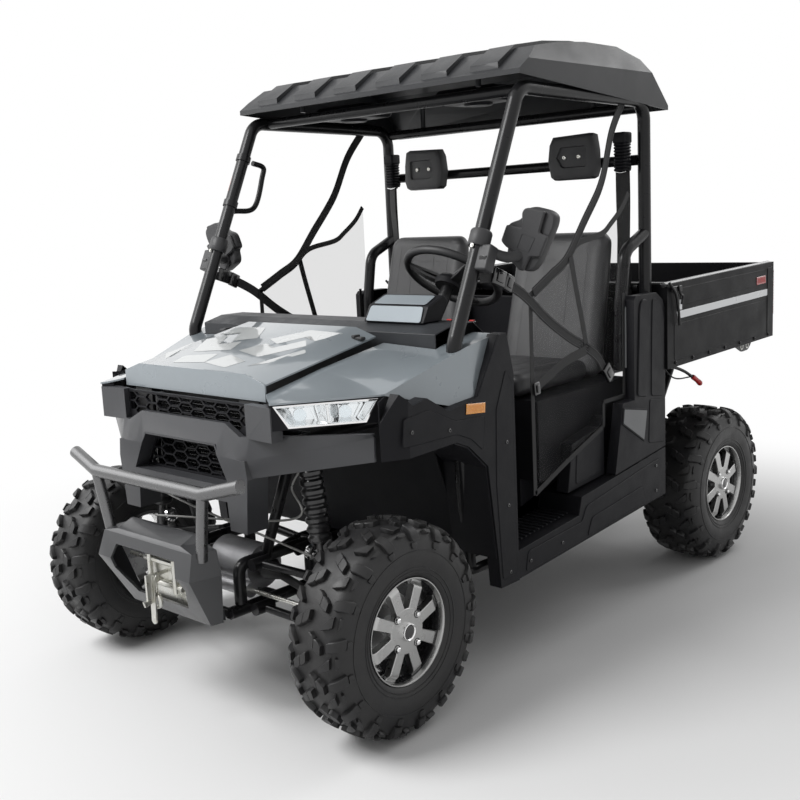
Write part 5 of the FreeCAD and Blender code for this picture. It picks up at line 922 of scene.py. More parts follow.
def sideNet():
    # a see-through cloth on each side, its hems and load straps of webbing, with thread and buckles
    net = {"rows": 110, "billow": 0.007, "across": 0.652, "tuck": 0.022}
    # the upper edge falls from the rear post to the pillar; the lower one follows the quarter panel
    upper = along([(0.684, 1.185), (0.735, 1.210), (0.799, 1.243), (0.894, 1.292), (0.941, 1.325),
                   (0.993, 1.343), (1.114, 1.362), (1.170, 1.392), (1.242, 1.442), (1.290, 1.496)])
    lower = along([(0.684, 0.535), (1.104, 0.688), (1.112, 0.775), (1.240, 0.778), (1.250, 1.145),
                   (1.290, 1.150)])
    across = np.concatenate([np.linspace(0.684, 1.100, 70), np.linspace(1.1005, 1.113, 12),
                             np.linspace(1.1135, 1.238, 18), np.linspace(1.2385, 1.252, 12),
                             np.linspace(1.2525, 1.290, 8)])
    top = np.interp(across, upper[:, 0], upper[:, 1])
    foot = np.interp(across, lower[:, 0], lower[:, 1])
    share = np.linspace(0, 1, net["rows"])[None]
    u = ((across - across[0]) / (across[-1] - across[0]))[:, None]
    height = foot[:, None] + (top - foot)[:, None] * share
    # it billows out a little in the middle and gathers in shallow folds that run down from the rear post
    swell = np.sin(math.pi * share) * np.sin(math.pi * np.clip(u * 1.05, 0, 1))
    folds = np.sin(26 * (across[:, None] - 0.45 * (height - 0.535))) * np.sin(math.pi * share) ** 2
    x = net["across"] + net["billow"] * (0.55 * swell + 0.45 * folds * swell)
    points = np.stack([x, frontAxle + np.broadcast_to(across[:, None], x.shape), height], -1)
    faces = gridFaces(*x.shape)
    for side, label in ((1, "left"), (-1, "right")):
        turned = points.reshape(-1, 3) * (side, 1, 1)
        mesh = meshFrom(label + "_net", turned, [faces if side > 0 else faces[:, ::-1]])
        cloth = settle(label + "_net", mesh, "sheer", bodyOf["side_nets"], 60,
                       replaces=("side_nets",) if side > 0 else (), slot="net_mesh", tidy=False)
        thick = cloth.modifiers.new("thickness", "SOLIDIFY")
        thick.thickness = 0.0008
    # hems, then the load straps as (behind the front axle, height) places and widths
    hems = [(upper, 0.020), ([(0.690, 1.190), (0.689, 0.9), (0.690, 0.540)], 0.018),
            ([(0.690, 0.543), (0.9, 0.622), (1.100, 0.690)], 0.018),
            ([(1.108, 0.690), (1.109, 0.735), (1.110, 0.775)], 0.014),
            ([(1.110, 0.779), (1.175, 0.780), (1.240, 0.780)], 0.014),
            ([(1.246, 0.782), (1.247, 0.95), (1.250, 1.148)], 0.014)]
    loads = [([(1.300, 1.818), (1.202, 1.701), (1.118, 1.540), (0.994, 1.401), (0.894, 1.292), (0.799, 1.243),
               (0.702, 1.196)], 0.034),
             ([(0.912, 1.296), (0.936, 1.205), (0.971, 1.086), (0.995, 1.000)], 0.024),
             ([(0.548, 1.246), (0.656, 1.190), (0.770, 1.107), (0.891, 1.036), (1.007, 0.982), (1.074, 0.940),
               (1.121, 0.885), (1.168, 0.858)], 0.034),
             ([(0.994, 0.978), (0.863, 0.953), (0.749, 0.912), (0.694, 0.888)], 0.032),
             ([(0.434, 1.262), (0.470, 1.262), (0.520, 1.256)], 0.030)]

    def tucked(places, shift):
        # high up, the straps lean in towards the cage
        path = onSide(places, net["across"], 60, shift)
        path[:, 0] -= net["tuck"] * np.clip((path[:, 2] - 1.50) / 0.3, 0, 1)
        return path

    parts = []
    for places, width in hems:
        parts.append(webbing(onSide(places, net["across"], 48, 0.0012), width, 0.0022))
    for order, (places, width) in enumerate(loads):
        parts.append(webbing(tucked(places, 0.0052 + 0.0024 * (order % 2)), width, 0.0018))
    piece("net_webbing", parts, "webbing", bodyOf["side_nets"], "net_mesh", True, smooth=30)
    # two rows of thread near each strap's edges
    seams = []
    for places, width in loads[:4]:
        path = tucked(places, 0.0078)
        edge = np.cross(np.gradient(path, axis=0), (1, 0, 0))
        edge /= np.linalg.norm(edge, axis=1, keepdims=True)
        for side in (-0.38, 0.38):
            seams.append(tube(path + edge * width * side, 0.0007, 6))
    piece("net_seams", seams, "stitch", bodyOf["side_nets"], "net_mesh", True)
    # a latch plate with its button on the strap by the pillar, and a buckle low at the rear
    buckles = []
    for place, size, lean in (((0.520, 1.258), (0.012, 0.062, 0.050), -0.35),
                              ((0.566, 1.238), (0.014, 0.040, 0.052), -0.45),
                              ((1.128, 0.882), (0.014, 0.060, 0.044), -0.9),
                              ((0.700, 0.890), (0.010, 0.030, 0.042), 0.1)):
        turn = along([(1, 0, 0), (0, math.cos(lean), math.sin(lean)), (0, -math.sin(lean), math.cos(lean))])
        centre = at(net["across"] + 0.010, *place)
        buckles.append(roundedBox(centre, size, 0.004, turn))
        buckles.append(roundedBox(centre + along((0.008, 0, 0)),
                                  (size[0] * 0.5, size[1] * 0.5, size[2] * 0.6), 0.0025, turn))
    piece("net_buckles", buckles, "blackGloss", bodyOf["side_nets"], "net_mesh", True)


sideNet()


def shoulderBelts():
    # pleated boots over the reels on the headrest bar, with two runs of webbing down behind each seat
    belt = {"pleats": 9, "width": 0.046, "reel": 0.056, "anchor": 1.010}
    low, high = corners("belt_reels")
    across = (high[0] + (high[0] - belt["reel"])) / 2
    middle = (low[1] + high[1]) / 2
    top = high[2]
    parts = []
    turn = np.linspace(0, 2 * math.pi, 32, endpoint=False)
    square = np.stack([np.sign(np.cos(turn)) * np.abs(np.cos(turn)) ** 0.55,
                       np.sign(np.sin(turn)) * np.abs(np.sin(turn)) ** 0.55], -1)
    count = belt["pleats"] * 8 + 1
    share = np.linspace(0, 1, count)
    reach = 0.0225 + 0.0045 * np.abs(np.sin(share * belt["pleats"] * math.pi)) ** 0.6
    heights = top - 0.038 - share * 0.100
    rings = np.stack([across + square[None, :, 0] * reach[:, None],
                      middle + square[None, :, 1] * reach[:, None],
                      np.broadcast_to(heights[:, None], (count, 32))], -1)
    parts.append(swept(rings))
    parts.append(roundedBox((across, middle, top - 0.020), (0.052, 0.054, 0.040), 0.007))
    parts.append(roundedBox((across, middle + 0.010, low[2] + 0.004), (0.046, 0.034, 0.018), 0.005))
    piece("belt_boots", parts, "cab_plastic", slot=slotOf["belt_reels"], both=True, replaces=("belt_reels",),
          smooth=40)
    guide = []
    for shift in (-0.010, 0.010):
        guide.append(tube(curve([(across - 0.022, middle + shift, low[2] - 0.012),
                                 (across, middle + shift, low[2] - 0.016),
                                 (across + 0.022, middle + shift, low[2] - 0.012)], 12), 0.0028, 10))
    piece("belt_guides", guide, "chrome", slot="zinc", both=True)
    runs = []
    for lean, drop in ((0.0, 0.006), (0.055, -0.004)):
        path = curve([(across, middle + drop, low[2] + 0.006), (across + 0.001, middle + drop, low[2] - 0.12),
                      (across - 0.004, middle + drop + lean * 0.3, low[2] - 0.32),
                      (across - 0.010, middle + drop + lean * 0.55, belt["anchor"] + 0.10)], 36)
        runs.append(webbing(path, belt["width"], 0.0016, (0.35, -1, 0)))
    piece("belt_webbing", runs, "webbing", slot=slotOf["belt_reels"], both=True)
    # the buckle stalks between the cushions
    stalks, heads, buttons = [], [], []
    cushionHigh = corners("seat_cushions")[1]
    for side in (-0.045, 0.045):
        foot = along((side, cushionHigh[1] - 0.03, cushionHigh[2] - 0.10))
        tip = foot + along((side * 0.25, -0.03, 0.16))
        stalks.append(webbing(curve([foot, (foot + tip) / 2 + (0, 0.006, 0), tip], 16), 0.030, 0.004,
                              (0, -1, 0.2)))
        heads.append(roundedBox(tip + along((0, 0, 0.026)), (0.034, 0.018, 0.062), 0.005))
        buttons.append(roundedBox(tip + along((0, 0, 0.058)), (0.024, 0.012, 0.006), 0.0025))
    piece("buckle_stalks", stalks + heads, "blackGloss", slot="vinyl")
    piece("buckle_buttons", buttons, "redPaint", slot="vinyl")
    print("stage: belts")


shoulderBelts()


def headrests():
    # a moulded pad with a sunk D-shaped panel, two screws in it and a steel clamp round the bar behind
    rest = {"half": 0.108, "panelDepth": 0.007}
    low, high = corners("headrests")
    middle = (high[0] + high[0] - 2 * rest["half"]) / 2
    face = low[1] + 0.002
    back = high[1]
    outline = along([(-0.106, -0.012), (-0.098, 0.050), (-0.082, 0.078), (0.078, 0.083), (0.096, 0.076),
                     (0.106, 0.020), (0.108, -0.050), (0.098, -0.076), (0.082, -0.083), (-0.078, -0.083),
                     (-0.094, -0.072)])
    centre = along((middle, 0, (low[2] + high[2]) / 2))
    across, up = along((1, 0, 0)), along((0, 0, 1))
    # x across, z up: across x up points to the front, so depth grows towards the passengers
    origin = along((centre[0], face + 0.044, centre[2]))
    rings = []
    for depth, inset in ((0.0, 0.010), (0.004, 0.0), (0.032, 0.001), (0.040, 0.004), (0.044, 0.012),
                         (0.0445, 0.024)):
        scale = 1 - inset / 0.095
        rings.append(inPlane(outline * scale, origin, across, up, depth))
    panel = along([(-0.060, 0.0), (-0.044, 0.030), (-0.040, 0.036), (0.058, 0.036), (0.066, 0.030),
                   (0.066, 0.0), (0.066, -0.028), (0.060, -0.036), (-0.030, -0.036), (-0.040, -0.032),
                   (-0.052, -0.012)])
    rings.append(inPlane(panel * 1.05, origin, across, up, 0.0445))
    rings.append(inPlane(panel * 1.0, origin, across, up, 0.0440 - rest["panelDepth"]))
    rings.append(inPlane(panel * 0.86, origin, across, up, 0.0445 - rest["panelDepth"]))
    piece("headrest_pads", [swept(np.stack(rings))], "headFoam", slot="vinyl", both=True,
          replaces=("headrests",), smooth=42, bevel=0.0015)
    spots = [origin + along((shift, -0.0445 + rest["panelDepth"], 0)) for shift in (-0.030, 0.034)]
    piece("headrest_screws", [repeated(screwHead(0.0085, 0.005), facing(spots, (0, -1, 0)))], "zinc",
          slot="zinc", both=True)
    clamp = roundedBox((centre[0], back - 0.010, low[2] + 0.058), (0.10, 0.020, 0.052), 0.003)
    piece("headrest_clamps", [clamp], "black_tube", slot="black_tube", both=True)
    print("stage: headrests")


headrests()


def inflated(name, form, cap, held, voxel):
    # the form is remeshed evenly and blown up with its sewn lines held; no point moves past the cap
    air = {"pressure": 4.0, "stretch": 12, "bend": 0.4, "frames": 20}
    mesh = meshFrom(name, *form)
    tidied(mesh)
    body = bpy.data.objects.new(name, mesh)
    bpy.context.collection.objects.link(body)
    remesh = body.modifiers.new("even", "REMESH")
    remesh.mode = "VOXEL"
    remesh.voxel_size = voxel
    even = bpy.data.meshes.new_from_object(body.evaluated_get(bpy.context.evaluated_depsgraph_get()))
    body.modifiers.clear()
    body.data = even
    start = np.empty(len(even.vertices) * 3)
    even.vertices.foreach_get("co", start)
    start = start.reshape(-1, 3)
    group = body.vertex_groups.new(name="held")
    group.add([int(index) for index in np.nonzero(held(start))[0]], 1.0, "REPLACE")
    cloth = body.modifiers.new("cloth", "CLOTH")
    cloth.settings.use_pressure = True
    cloth.settings.uniform_pressure_force = air["pressure"]
    cloth.settings.effector_weights.gravity = 0
    cloth.settings.vertex_group_mass = "held"
    cloth.settings.pin_stiffness = 1
    cloth.settings.tension_stiffness = air["stretch"]
    cloth.settings.compression_stiffness = air["stretch"]
    cloth.settings.bending_stiffness = air["bend"]
    cloth.collision_settings.use_collision = False
    for step in range(1, air["frames"] + 1):
        bpy.context.scene.frame_set(step)
    blown = bpy.data.meshes.new_from_object(body.evaluated_get(bpy.context.evaluated_depsgraph_get()))
    end = np.empty(len(blown.vertices) * 3)
    blown.vertices.foreach_get("co", end)
    move = end.reshape(-1, 3) - start
    length = np.linalg.norm(move, axis=1, keepdims=True)
    start = start + move * np.minimum(1, cap / np.maximum(length, 1e-9))
    bpy.context.scene.frame_set(1)
    faces = np.empty(len(even.loops), np.int32)
    even.loops.foreach_get("vertex_index", faces)
    counts = np.empty(len(even.polygons), np.int32)
    even.polygons.foreach_get("loop_total", counts)
    starts = np.concatenate([[0], np.cumsum(counts)[:-1]])
    groups = [faces[starts[counts == size][:, None] + np.arange(size)] for size in (3, 4)
              if (counts == size).any()]
    bpy.data.objects.remove(body)
    return start, groups


def kept(points, low, high):
    # the pad stays in the space its solid holds
    return np.clip(points, along(low), along(high))


def line(x, y, z):
    return np.stack(np.broadcast_arrays(x, y, z), -1).astype(float)


def seats():
    # a cushion and a backrest on each side, blown up by air between their sewn lines
    seat = {"channels": (-0.062, 0.062), "bolster": 0.142, "cap": 0.020, "even": 0.007, "backEven": 0.0076,
            "half": 0.222, "inner": 0.113, "seam": 0.0045, "cross": 0.085, "lean": 0.126, "taper": 0.10,
            "band": 0.80}
    offsets = seat["channels"] + (-seat["bolster"], seat["bolster"])
    low, high = corners("seat_cushions")
    backLow, backHigh = corners("backrests")
    middle = (high[0] + seat["inner"]) / 2
    # the cushion starts as a rounded slab
    centre = along((middle, (low[1] + high[1]) / 2, (low[2] + high[2]) / 2))
    size = high - low
    size[0] = 2 * seat["half"]
    cushion = roundedBox(centre, size - 0.016, 0.034, steps=7)

    def sewnCushion(place):
        off = np.abs(place[:, 0] - middle)
        top = place[:, 2] > centre[2] + 0.02
        lines = np.min([np.abs(off - seam) for seam in (seat["channels"][1], seat["bolster"])],
                       axis=0) < seat["seam"]
        cross = np.abs(place[:, 1] - (low[1] + seat["cross"])) < seat["seam"]
        return (top & (lines | cross)) | (place[:, 2] < low[2] + 0.014)

    blown, groups = inflated("cushion_form", cushion, seat["cap"], sewnCushion, voxel=seat["even"])
    blown = kept(blown, (middle - seat["half"], low[1], low[2]),
                 (middle + seat["half"], high[1], high[2] + 0.004))
    pad = piece("seat_cushion_pads", [(blown, groups)], "vinyl", slot="vinyl", both=True,
                replaces=("seat_cushions",), smooth=70)
    smoother = pad.modifiers.new("soft", "SUBSURF")
    smoother.levels = smoother.render_levels = 1
    walk = np.linspace(low[1] + 0.03, high[1] - 0.03, 50)
    seams = [(line(middle + off, walk, high[2] + 0.03), (0, 0, -1)) for off in offsets]
    across = np.linspace(middle - 0.20, middle + 0.20, 50)
    seams.append((line(across, low[1] + seat["cross"], high[2] + 0.03), (0, 0, -1)))
    sewn("cushion_stitches", pad, seams)
    # the backrest starts as a slab that leans back and narrows at its top
    tall = backHigh[2] - backLow[2]
    points, faces = roundedBox((0, 0, 0), (0.430, 0.082, tall - 0.020), 0.036, steps=7)
    share = points[:, 2:] / tall + 0.5
    shoulder = 1 - 0.13 * np.clip((share - 0.72) / 0.28, 0, 1) ** 2
    points = points * np.concatenate([shoulder, 1 - 0.16 * share, np.ones_like(share)], 1)
    foot = backLow[1] + 0.050
    middleY = foot + share[:, 0] * seat["lean"]
    points = np.stack([middle + points[:, 0], middleY + points[:, 1],
                       (backLow[2] + backHigh[2]) / 2 + points[:, 2]], -1)

    def sewnBack(place):
        off = np.abs(place[:, 0] - middle)
        part = (place[:, 2] - backLow[2]) / tall
        face = place[:, 1] < foot + part * seat["lean"]
        lines = np.min([np.abs(off - seam * (1 - seat["taper"] * part))
                        for seam in (seat["channels"][1], seat["bolster"])], axis=0) < seat["seam"]
        band = np.abs(part - seat["band"]) < 0.006
        rear = ~face & (np.abs(place[:, 1] - foot - part * seat["lean"]) > 0.03)
        return (face & lines) | rear | (face & band & (off < 0.13))

    blown, groups = inflated("backrest_form", (points, faces), seat["cap"], sewnBack, voxel=seat["backEven"])
    blown = kept(blown, (middle - seat["half"], backLow[1], backLow[2]),
                 (middle + seat["half"], backHigh[1], backHigh[2]))
    # the backrest takes the seat vinyl painted lighter, a painted sheen
    back = piece("backrest_pads", [(blown, groups)], "vinylPaintedSheen", slot="vinyl", both=True,
                 replaces=("backrests",), smooth=70)
    smoother = back.modifiers.new("soft", "SUBSURF")
    smoother.levels = smoother.render_levels = 1
    height = np.linspace(backLow[2] + 0.05, backHigh[2] - 0.05, 60)
    taper = 1 - seat["taper"] * (height - backLow[2]) / tall
    seams = [(line(middle + off * taper, backLow[1] - 0.05, height), (0, 1, 0)) for off in offsets]
    across = np.linspace(-0.13, 0.13, 40)
    seams.append((line(middle + across, backLow[1] - 0.05, backLow[2] + seat["band"] * tall), (0, 1, 0)))
    sewn("backrest_stitches", back, seams)
    print("stage: seats")


def stitchBead(half, thin, thick):
    return lathe([(-half, thin), (-0.002, thick), (0.002, thick), (half, thin)], (0, 0, 0), (0, 0, 1), 6)


def sewn(name, pad, lines):
    # a thread along each line, laid on the pad by casting it down, and broken into short stitches
    bpy.context.view_layer.update()
    graph = bpy.context.evaluated_depsgraph_get()
    solid = pad.evaluated_get(graph)
    parts = []
    for places, direction in lines:
        landed = []
        for place in places:
            hit, spot, normal, _ = solid.ray_cast(Vector(place), Vector(direction))
            if hit:
                landed.append(tuple(spot + normal * 0.0004))
        if len(landed) < 6:
            continue
        path = curve(landed, len(landed) * 3)
        step = np.linalg.norm(np.diff(path, axis=0), axis=1).cumsum()
        walk = np.concatenate([[0], step])
        starts = np.arange(0.004, step[-1] - 0.008, 0.0085)
        ends = [np.stack([np.interp(starts + shift, walk, path[:, k]) for k in range(3)], -1)
                for shift in (0, 0.0055)]
        middle = (ends[0] + ends[1]) / 2
        ahead = ends[1] - ends[0]
        parts.append(repeated(stitchBead(0.0027, 0.0003, 0.0008), facing(middle, ahead)))
    if parts:
        piece(name, parts, "stitch", slot="vinyl", both=True, tidy=False)


seats()


def pillarLine(side):
    # the foot and the head of a front pillar's middle line, and its direction
    foot, head = at(side * 0.628, 0.335, 1.070), at(side * 0.628, 0.690, 1.828)
    return foot, head, (head - foot) / np.linalg.norm(head - foot)


def mirrors():
    # a rounded shell with a raised cross and a square on its front, glass behind, and a neck on a clamp
    mirror = {"front": 0.560, "deep": 0.044, "cross": 0.013, "middle": (0.741, 1.367), "glass": 0.005}
    shape = along([(0.751, 1.464), (0.811, 1.450), (0.833, 1.434), (0.829, 1.408), (0.768, 1.295),
                   (0.742, 1.271), (0.716, 1.271), (0.656, 1.303), (0.650, 1.322), (0.658, 1.354),
                   (0.637, 1.365), (0.661, 1.418), (0.711, 1.430), (0.728, 1.458)])
    middle = along(mirror["middle"])
    smooth = filleted(shape - middle, 0.016, 5)
    across, up = along((1, 0, 0)), along((0, 0, 1))
    # across x up looks to the front; the shell's rim is at its rear
    origin = along((middle[0], frontAxle + mirror["front"] + mirror["deep"], middle[1]))

    def loop(outline, scale, depth):
        return inPlane(outline * scale, origin, across, up, depth)

    deep = mirror["deep"]
    levels = ((0.90, mirror["glass"]), (0.935, mirror["glass"]), (0.965, 0.0), (0.99, 0.001), (1.0, 0.006),
              (0.995, deep * 0.45), (0.975, deep * 0.62), (0.94, deep * 0.70), (0.86, deep - mirror["cross"]))
    rings = np.stack([loop(smooth, scale, depth) for scale, depth in levels])
    cross = along([(0.722, 1.447), (0.732, 1.459), (0.748, 1.461), (0.806, 1.447), (0.783, 1.386),
                   (0.814, 1.374), (0.782, 1.314), (0.746, 1.316), (0.722, 1.274), (0.704, 1.277),
                   (0.680, 1.304), (0.690, 1.332), (0.658, 1.348), (0.641, 1.366), (0.664, 1.414),
                   (0.722, 1.402)]) - middle
    raised = plate(filleted(cross, 0.007, 4), origin + along((0, -deep + mirror["cross"], 0)), across, up,
                   mirror["cross"], 0.004)
    square = along([(0.723, 1.387), (0.769, 1.371), (0.745, 1.330), (0.701, 1.343)]) - middle
    border = np.stack([inPlane(square * size, origin + along((0, -deep, 0)), across, up, depth)
                      for size, depth in ((1.0, -0.001), (1.0, 0.0012), (0.93, 0.0012), (0.93, -0.001))])
    piece("mirror_shells", [swept(rings), raised, swept(border, True)], "mirror_plastic",
          slot="mirror_plastic", both=True, replaces=("mirrors",), smooth=40)
    glass = plate(smooth * 0.925, origin + along((0, -mirror["glass"] - 0.001, 0)), across, up, 0.0012)
    piece("mirror_glasses", [glass], "mirrorGlass", slot="mirror_plastic", both=True)
    base, top, slope = pillarLine(1)

    def onPillar(height):
        return base + (top - base) * (height - base[2]) / (top[2] - base[2])

    clamp = [lathe([(-0.026, 0.0236), (-0.026, 0.031), (-0.020, 0.034), (0.020, 0.034), (0.026, 0.031),
                    (0.026, 0.0236)], onPillar(1.375), slope, 40, True)]
    neck = curve([onPillar(1.352) + along((0.020, 0.004, 0)), onPillar(1.338) + along((0.042, 0.024, -0.004)),
                  at(0.690, 0.530, 1.318), at(0.716, 0.585, 1.322)], 24)
    clamp.append(tube(neck, np.linspace(0.015, 0.017, 24), 20))
    clamp.append(roundedBox(onPillar(1.318) + along((0.030, 0.006, 0)), (0.060, 0.040, 0.080), 0.006,
                            np.stack([along((1, 0, 0)), np.cross(slope, (1, 0, 0)), slope])))
    socket = roundedBox(onPillar(1.318) + along((0.040, -0.0135, -0.006)), (0.026, 0.006, 0.034), 0.002)
    piece("mirror_clamps", clamp, "mirror_plastic", slot="mirror_plastic", both=True, bevel=0.0008)
    piece("mirror_sockets", [socket], "blackGloss", slot="mirror_plastic", both=True)
    bolts = bothSides([onPillar(height) + along((0, -0.0335, 0)) for height in (1.39, 1.36)])
    boltSet("mirror_bolts", bolts, (0, -1, 0.3), radius=0.0042)
    print("stage: mirrors")


mirrors()


def wheelTrim():
    # a hub cover, three spoke covers and a ring of stitches on the steering wheel
    wheel = {"middle": (0.330, 0.700, 1.245), "lean": 53, "spokes": (90, 210, 330), "stitches": 120,
             "stitchCircle": 0.1476}
    lean = math.radians(wheel["lean"])
    axis = along((0, math.cos(lean), math.sin(lean)))
    across = along((1, 0, 0))
    over = np.cross(axis, across)
    middle = at(*wheel["middle"])
    hub = middle - axis * 0.030
    cover = [lathe([(-0.014, 0.046), (0.002, 0.052), (0.012, 0.049), (0.018, 0.040), (0.021, 0.024),
                    (0.0215, 0.002)], hub, axis, 48)]
    spokes = []
    for turn in wheel["spokes"]:
        angle = math.radians(turn)
        way = across * math.cos(angle) + over * math.sin(angle)
        path = curve([hub + way * 0.040, hub + way * 0.085 + axis * 0.006, hub + way * 0.130 + axis * 0.020,
                      hub + way * 0.164 + axis * 0.030], 20)
        spokes.append(strap(path, 0.034, 0.010, np.cross(axis, way)))
    piece("wheel_hub_cover", cover, "cab_plastic", bodyOf["steering_wheel"], "wheel_grip", smooth=30)
    piece("wheel_spoke_covers", spokes, "wheel_grip", bodyOf["steering_wheel"], "wheel_grip", bevel=0.003)
    ring = np.linspace(0, 2 * math.pi, wheel["stitches"], endpoint=False)
    spots = middle + (np.cos(ring)[:, None] * across + np.sin(ring)[:, None] * over) * wheel["stitchCircle"]
    way = -np.sin(ring)[:, None] * across + np.cos(ring)[:, None] * over
    stitches = [repeated(stitchBead(0.0028, 0.0004, 0.0009), facing(spots, way + axis * 0.5))]
    piece("wheel_stitches", stitches, "stitch", bodyOf["steering_wheel"], "wheel_grip", tidy=False)
    print("stage: steering wheel")


wheelTrim()


def podTrim():
    # a gauge that looks back at the driver, and painted caps on the pod's front and top
    pod = {"bezel": 0.007, "glass": 0.0022, "cap": 0.002}
    slot = slotOf["instrument_pod"]
    podLow, podHigh = corners("instrument_pod")
    gauge = along(((podLow[0] + podHigh[0]) / 2, podHigh[1] - 0.004, (podLow[2] + podHigh[2]) / 2 - 0.004))
    bezel = [slab([(-0.075, -0.026), (0.075, -0.026), (0.070, 0.026), (-0.070, 0.026)], gauge, (-1, 0, 0),
                  (0, 0, 1), pod["bezel"], 0.002, 0.010)]
    piece("gauge_bezel", bezel, "blackGloss", slot=slot)
    face = [slab([(-0.064, -0.019), (0.064, -0.019), (0.060, 0.019), (-0.060, 0.019)],
                 gauge + along((0, 0.006, 0)), (-1, 0, 0), (0, 0, 1), pod["glass"], 0.0006, 0.006)]
    piece("gauge_face", face, "gaugeGlass", slot=slot)
    near, far = podLow[1], podHigh[1]
    capFront = [slab([(-0.118, 0.004), (0.118, 0.004), (0.112, 0.058), (-0.112, 0.058)],
                     (gauge[0], near - 0.0015, podLow[2]), (1, 0, 0), along((0, 0.47, 0.88)), pod["cap"],
                     0.0008, 0.010)]
    capTop = [slab([(-0.112, 0.004), (0.112, 0.004), (0.108, far - near - 0.062),
                    (-0.108, far - near - 0.062)], (gauge[0], near + 0.032, podLow[2] + 0.0545), (1, 0, 0),
                   along((0, far - near - 0.054, 0.030)) / math.hypot(far - near - 0.054, 0.030), pod["cap"],
                   0.0008, 0.010)]
    piece("pod_caps", capFront + capTop, "podPaint", slot=slot)
    print("stage: instrument pod")


podTrim()


def dashControls():
    # two rows of rocker switches and a shift lever
    dash = {"columns": 5, "rows": 2, "chin": 37, "lever": 0.10}
    dashHigh = corners("dashboard")[1]
    face = dashHigh[1] + 0.001
    switches = []
    chin = math.radians(dash["chin"])
    for column in range(dash["columns"]):
        for row in range(dash["rows"]):
            spot = along((0.03 - 0.048 * column, dashHigh[1] - 0.052 + 0.024 * row,
                          dashHigh[2] - 0.030 - 0.031 * row))
            switches.append(roundedBox(spot, (0.034, 0.012, 0.024), 0.003,
                                       along([(1, 0, 0), (0, math.cos(chin), math.sin(-chin)),
                                              (0, math.sin(chin), math.cos(chin))])))
    piece("dash_switches", switches, "blackGloss", slot=slotOf["dashboard"])
    lever = tube(curve([(dash["lever"], face - 0.085, dashHigh[2] - 0.13),
                        (dash["lever"], face - 0.02, dashHigh[2] - 0.10),
                        (dash["lever"], face + 0.045, dashHigh[2] - 0.02)], 20), 0.006, 12)
    knob = roundedBox((dash["lever"], face + 0.050, dashHigh[2] - 0.008), (0.032, 0.036, 0.050), 0.014)
    piece("shift_lever", [lever], "zinc", slot="zinc")
    piece("shift_knob", [knob], "blackGloss", slot=slotOf["dashboard"])
    print("stage: dash controls")


dashControls()


def pedals():
    # two pedals hang over the floor on steel arms, each with a ribbed rubber pad
    pedal = {"throttle": (0.235, 0.060), "brake": (0.345, 0.085), "ribs": 5}
    pads, arms = [], []
    for across, wide in (pedal["throttle"], pedal["brake"]):
        top = at(across, 0.415, 0.720)
        foot = at(across, 0.500, 0.470)
        arms.append(tube(curve([top, (top + foot) / 2 + along((0, 0.03, 0.01)), foot], 16), 0.007, 12))
        turn = along([(1, 0, 0), (0, 0.80, -0.60), (0, 0.60, 0.80)])
        pads.append(roundedBox(foot + along((0, 0.010, 0)), (wide, 0.012, 0.070), 0.004, turn))
        for rib in range(pedal["ribs"]):
            shift = (rib - 2) * 0.013
            pads.append(roundedBox(foot + along((0, 0.017 + shift * 0.6, shift * 0.8)),
                                   (wide * 0.84, 0.006, 0.005), 0.002, turn))
    piece("pedal_arms", arms, "black_tube", slot="black_tube")
    piece("pedal_pads", pads, "boot", slot="boot")
    print("stage: pedals")


pedals()


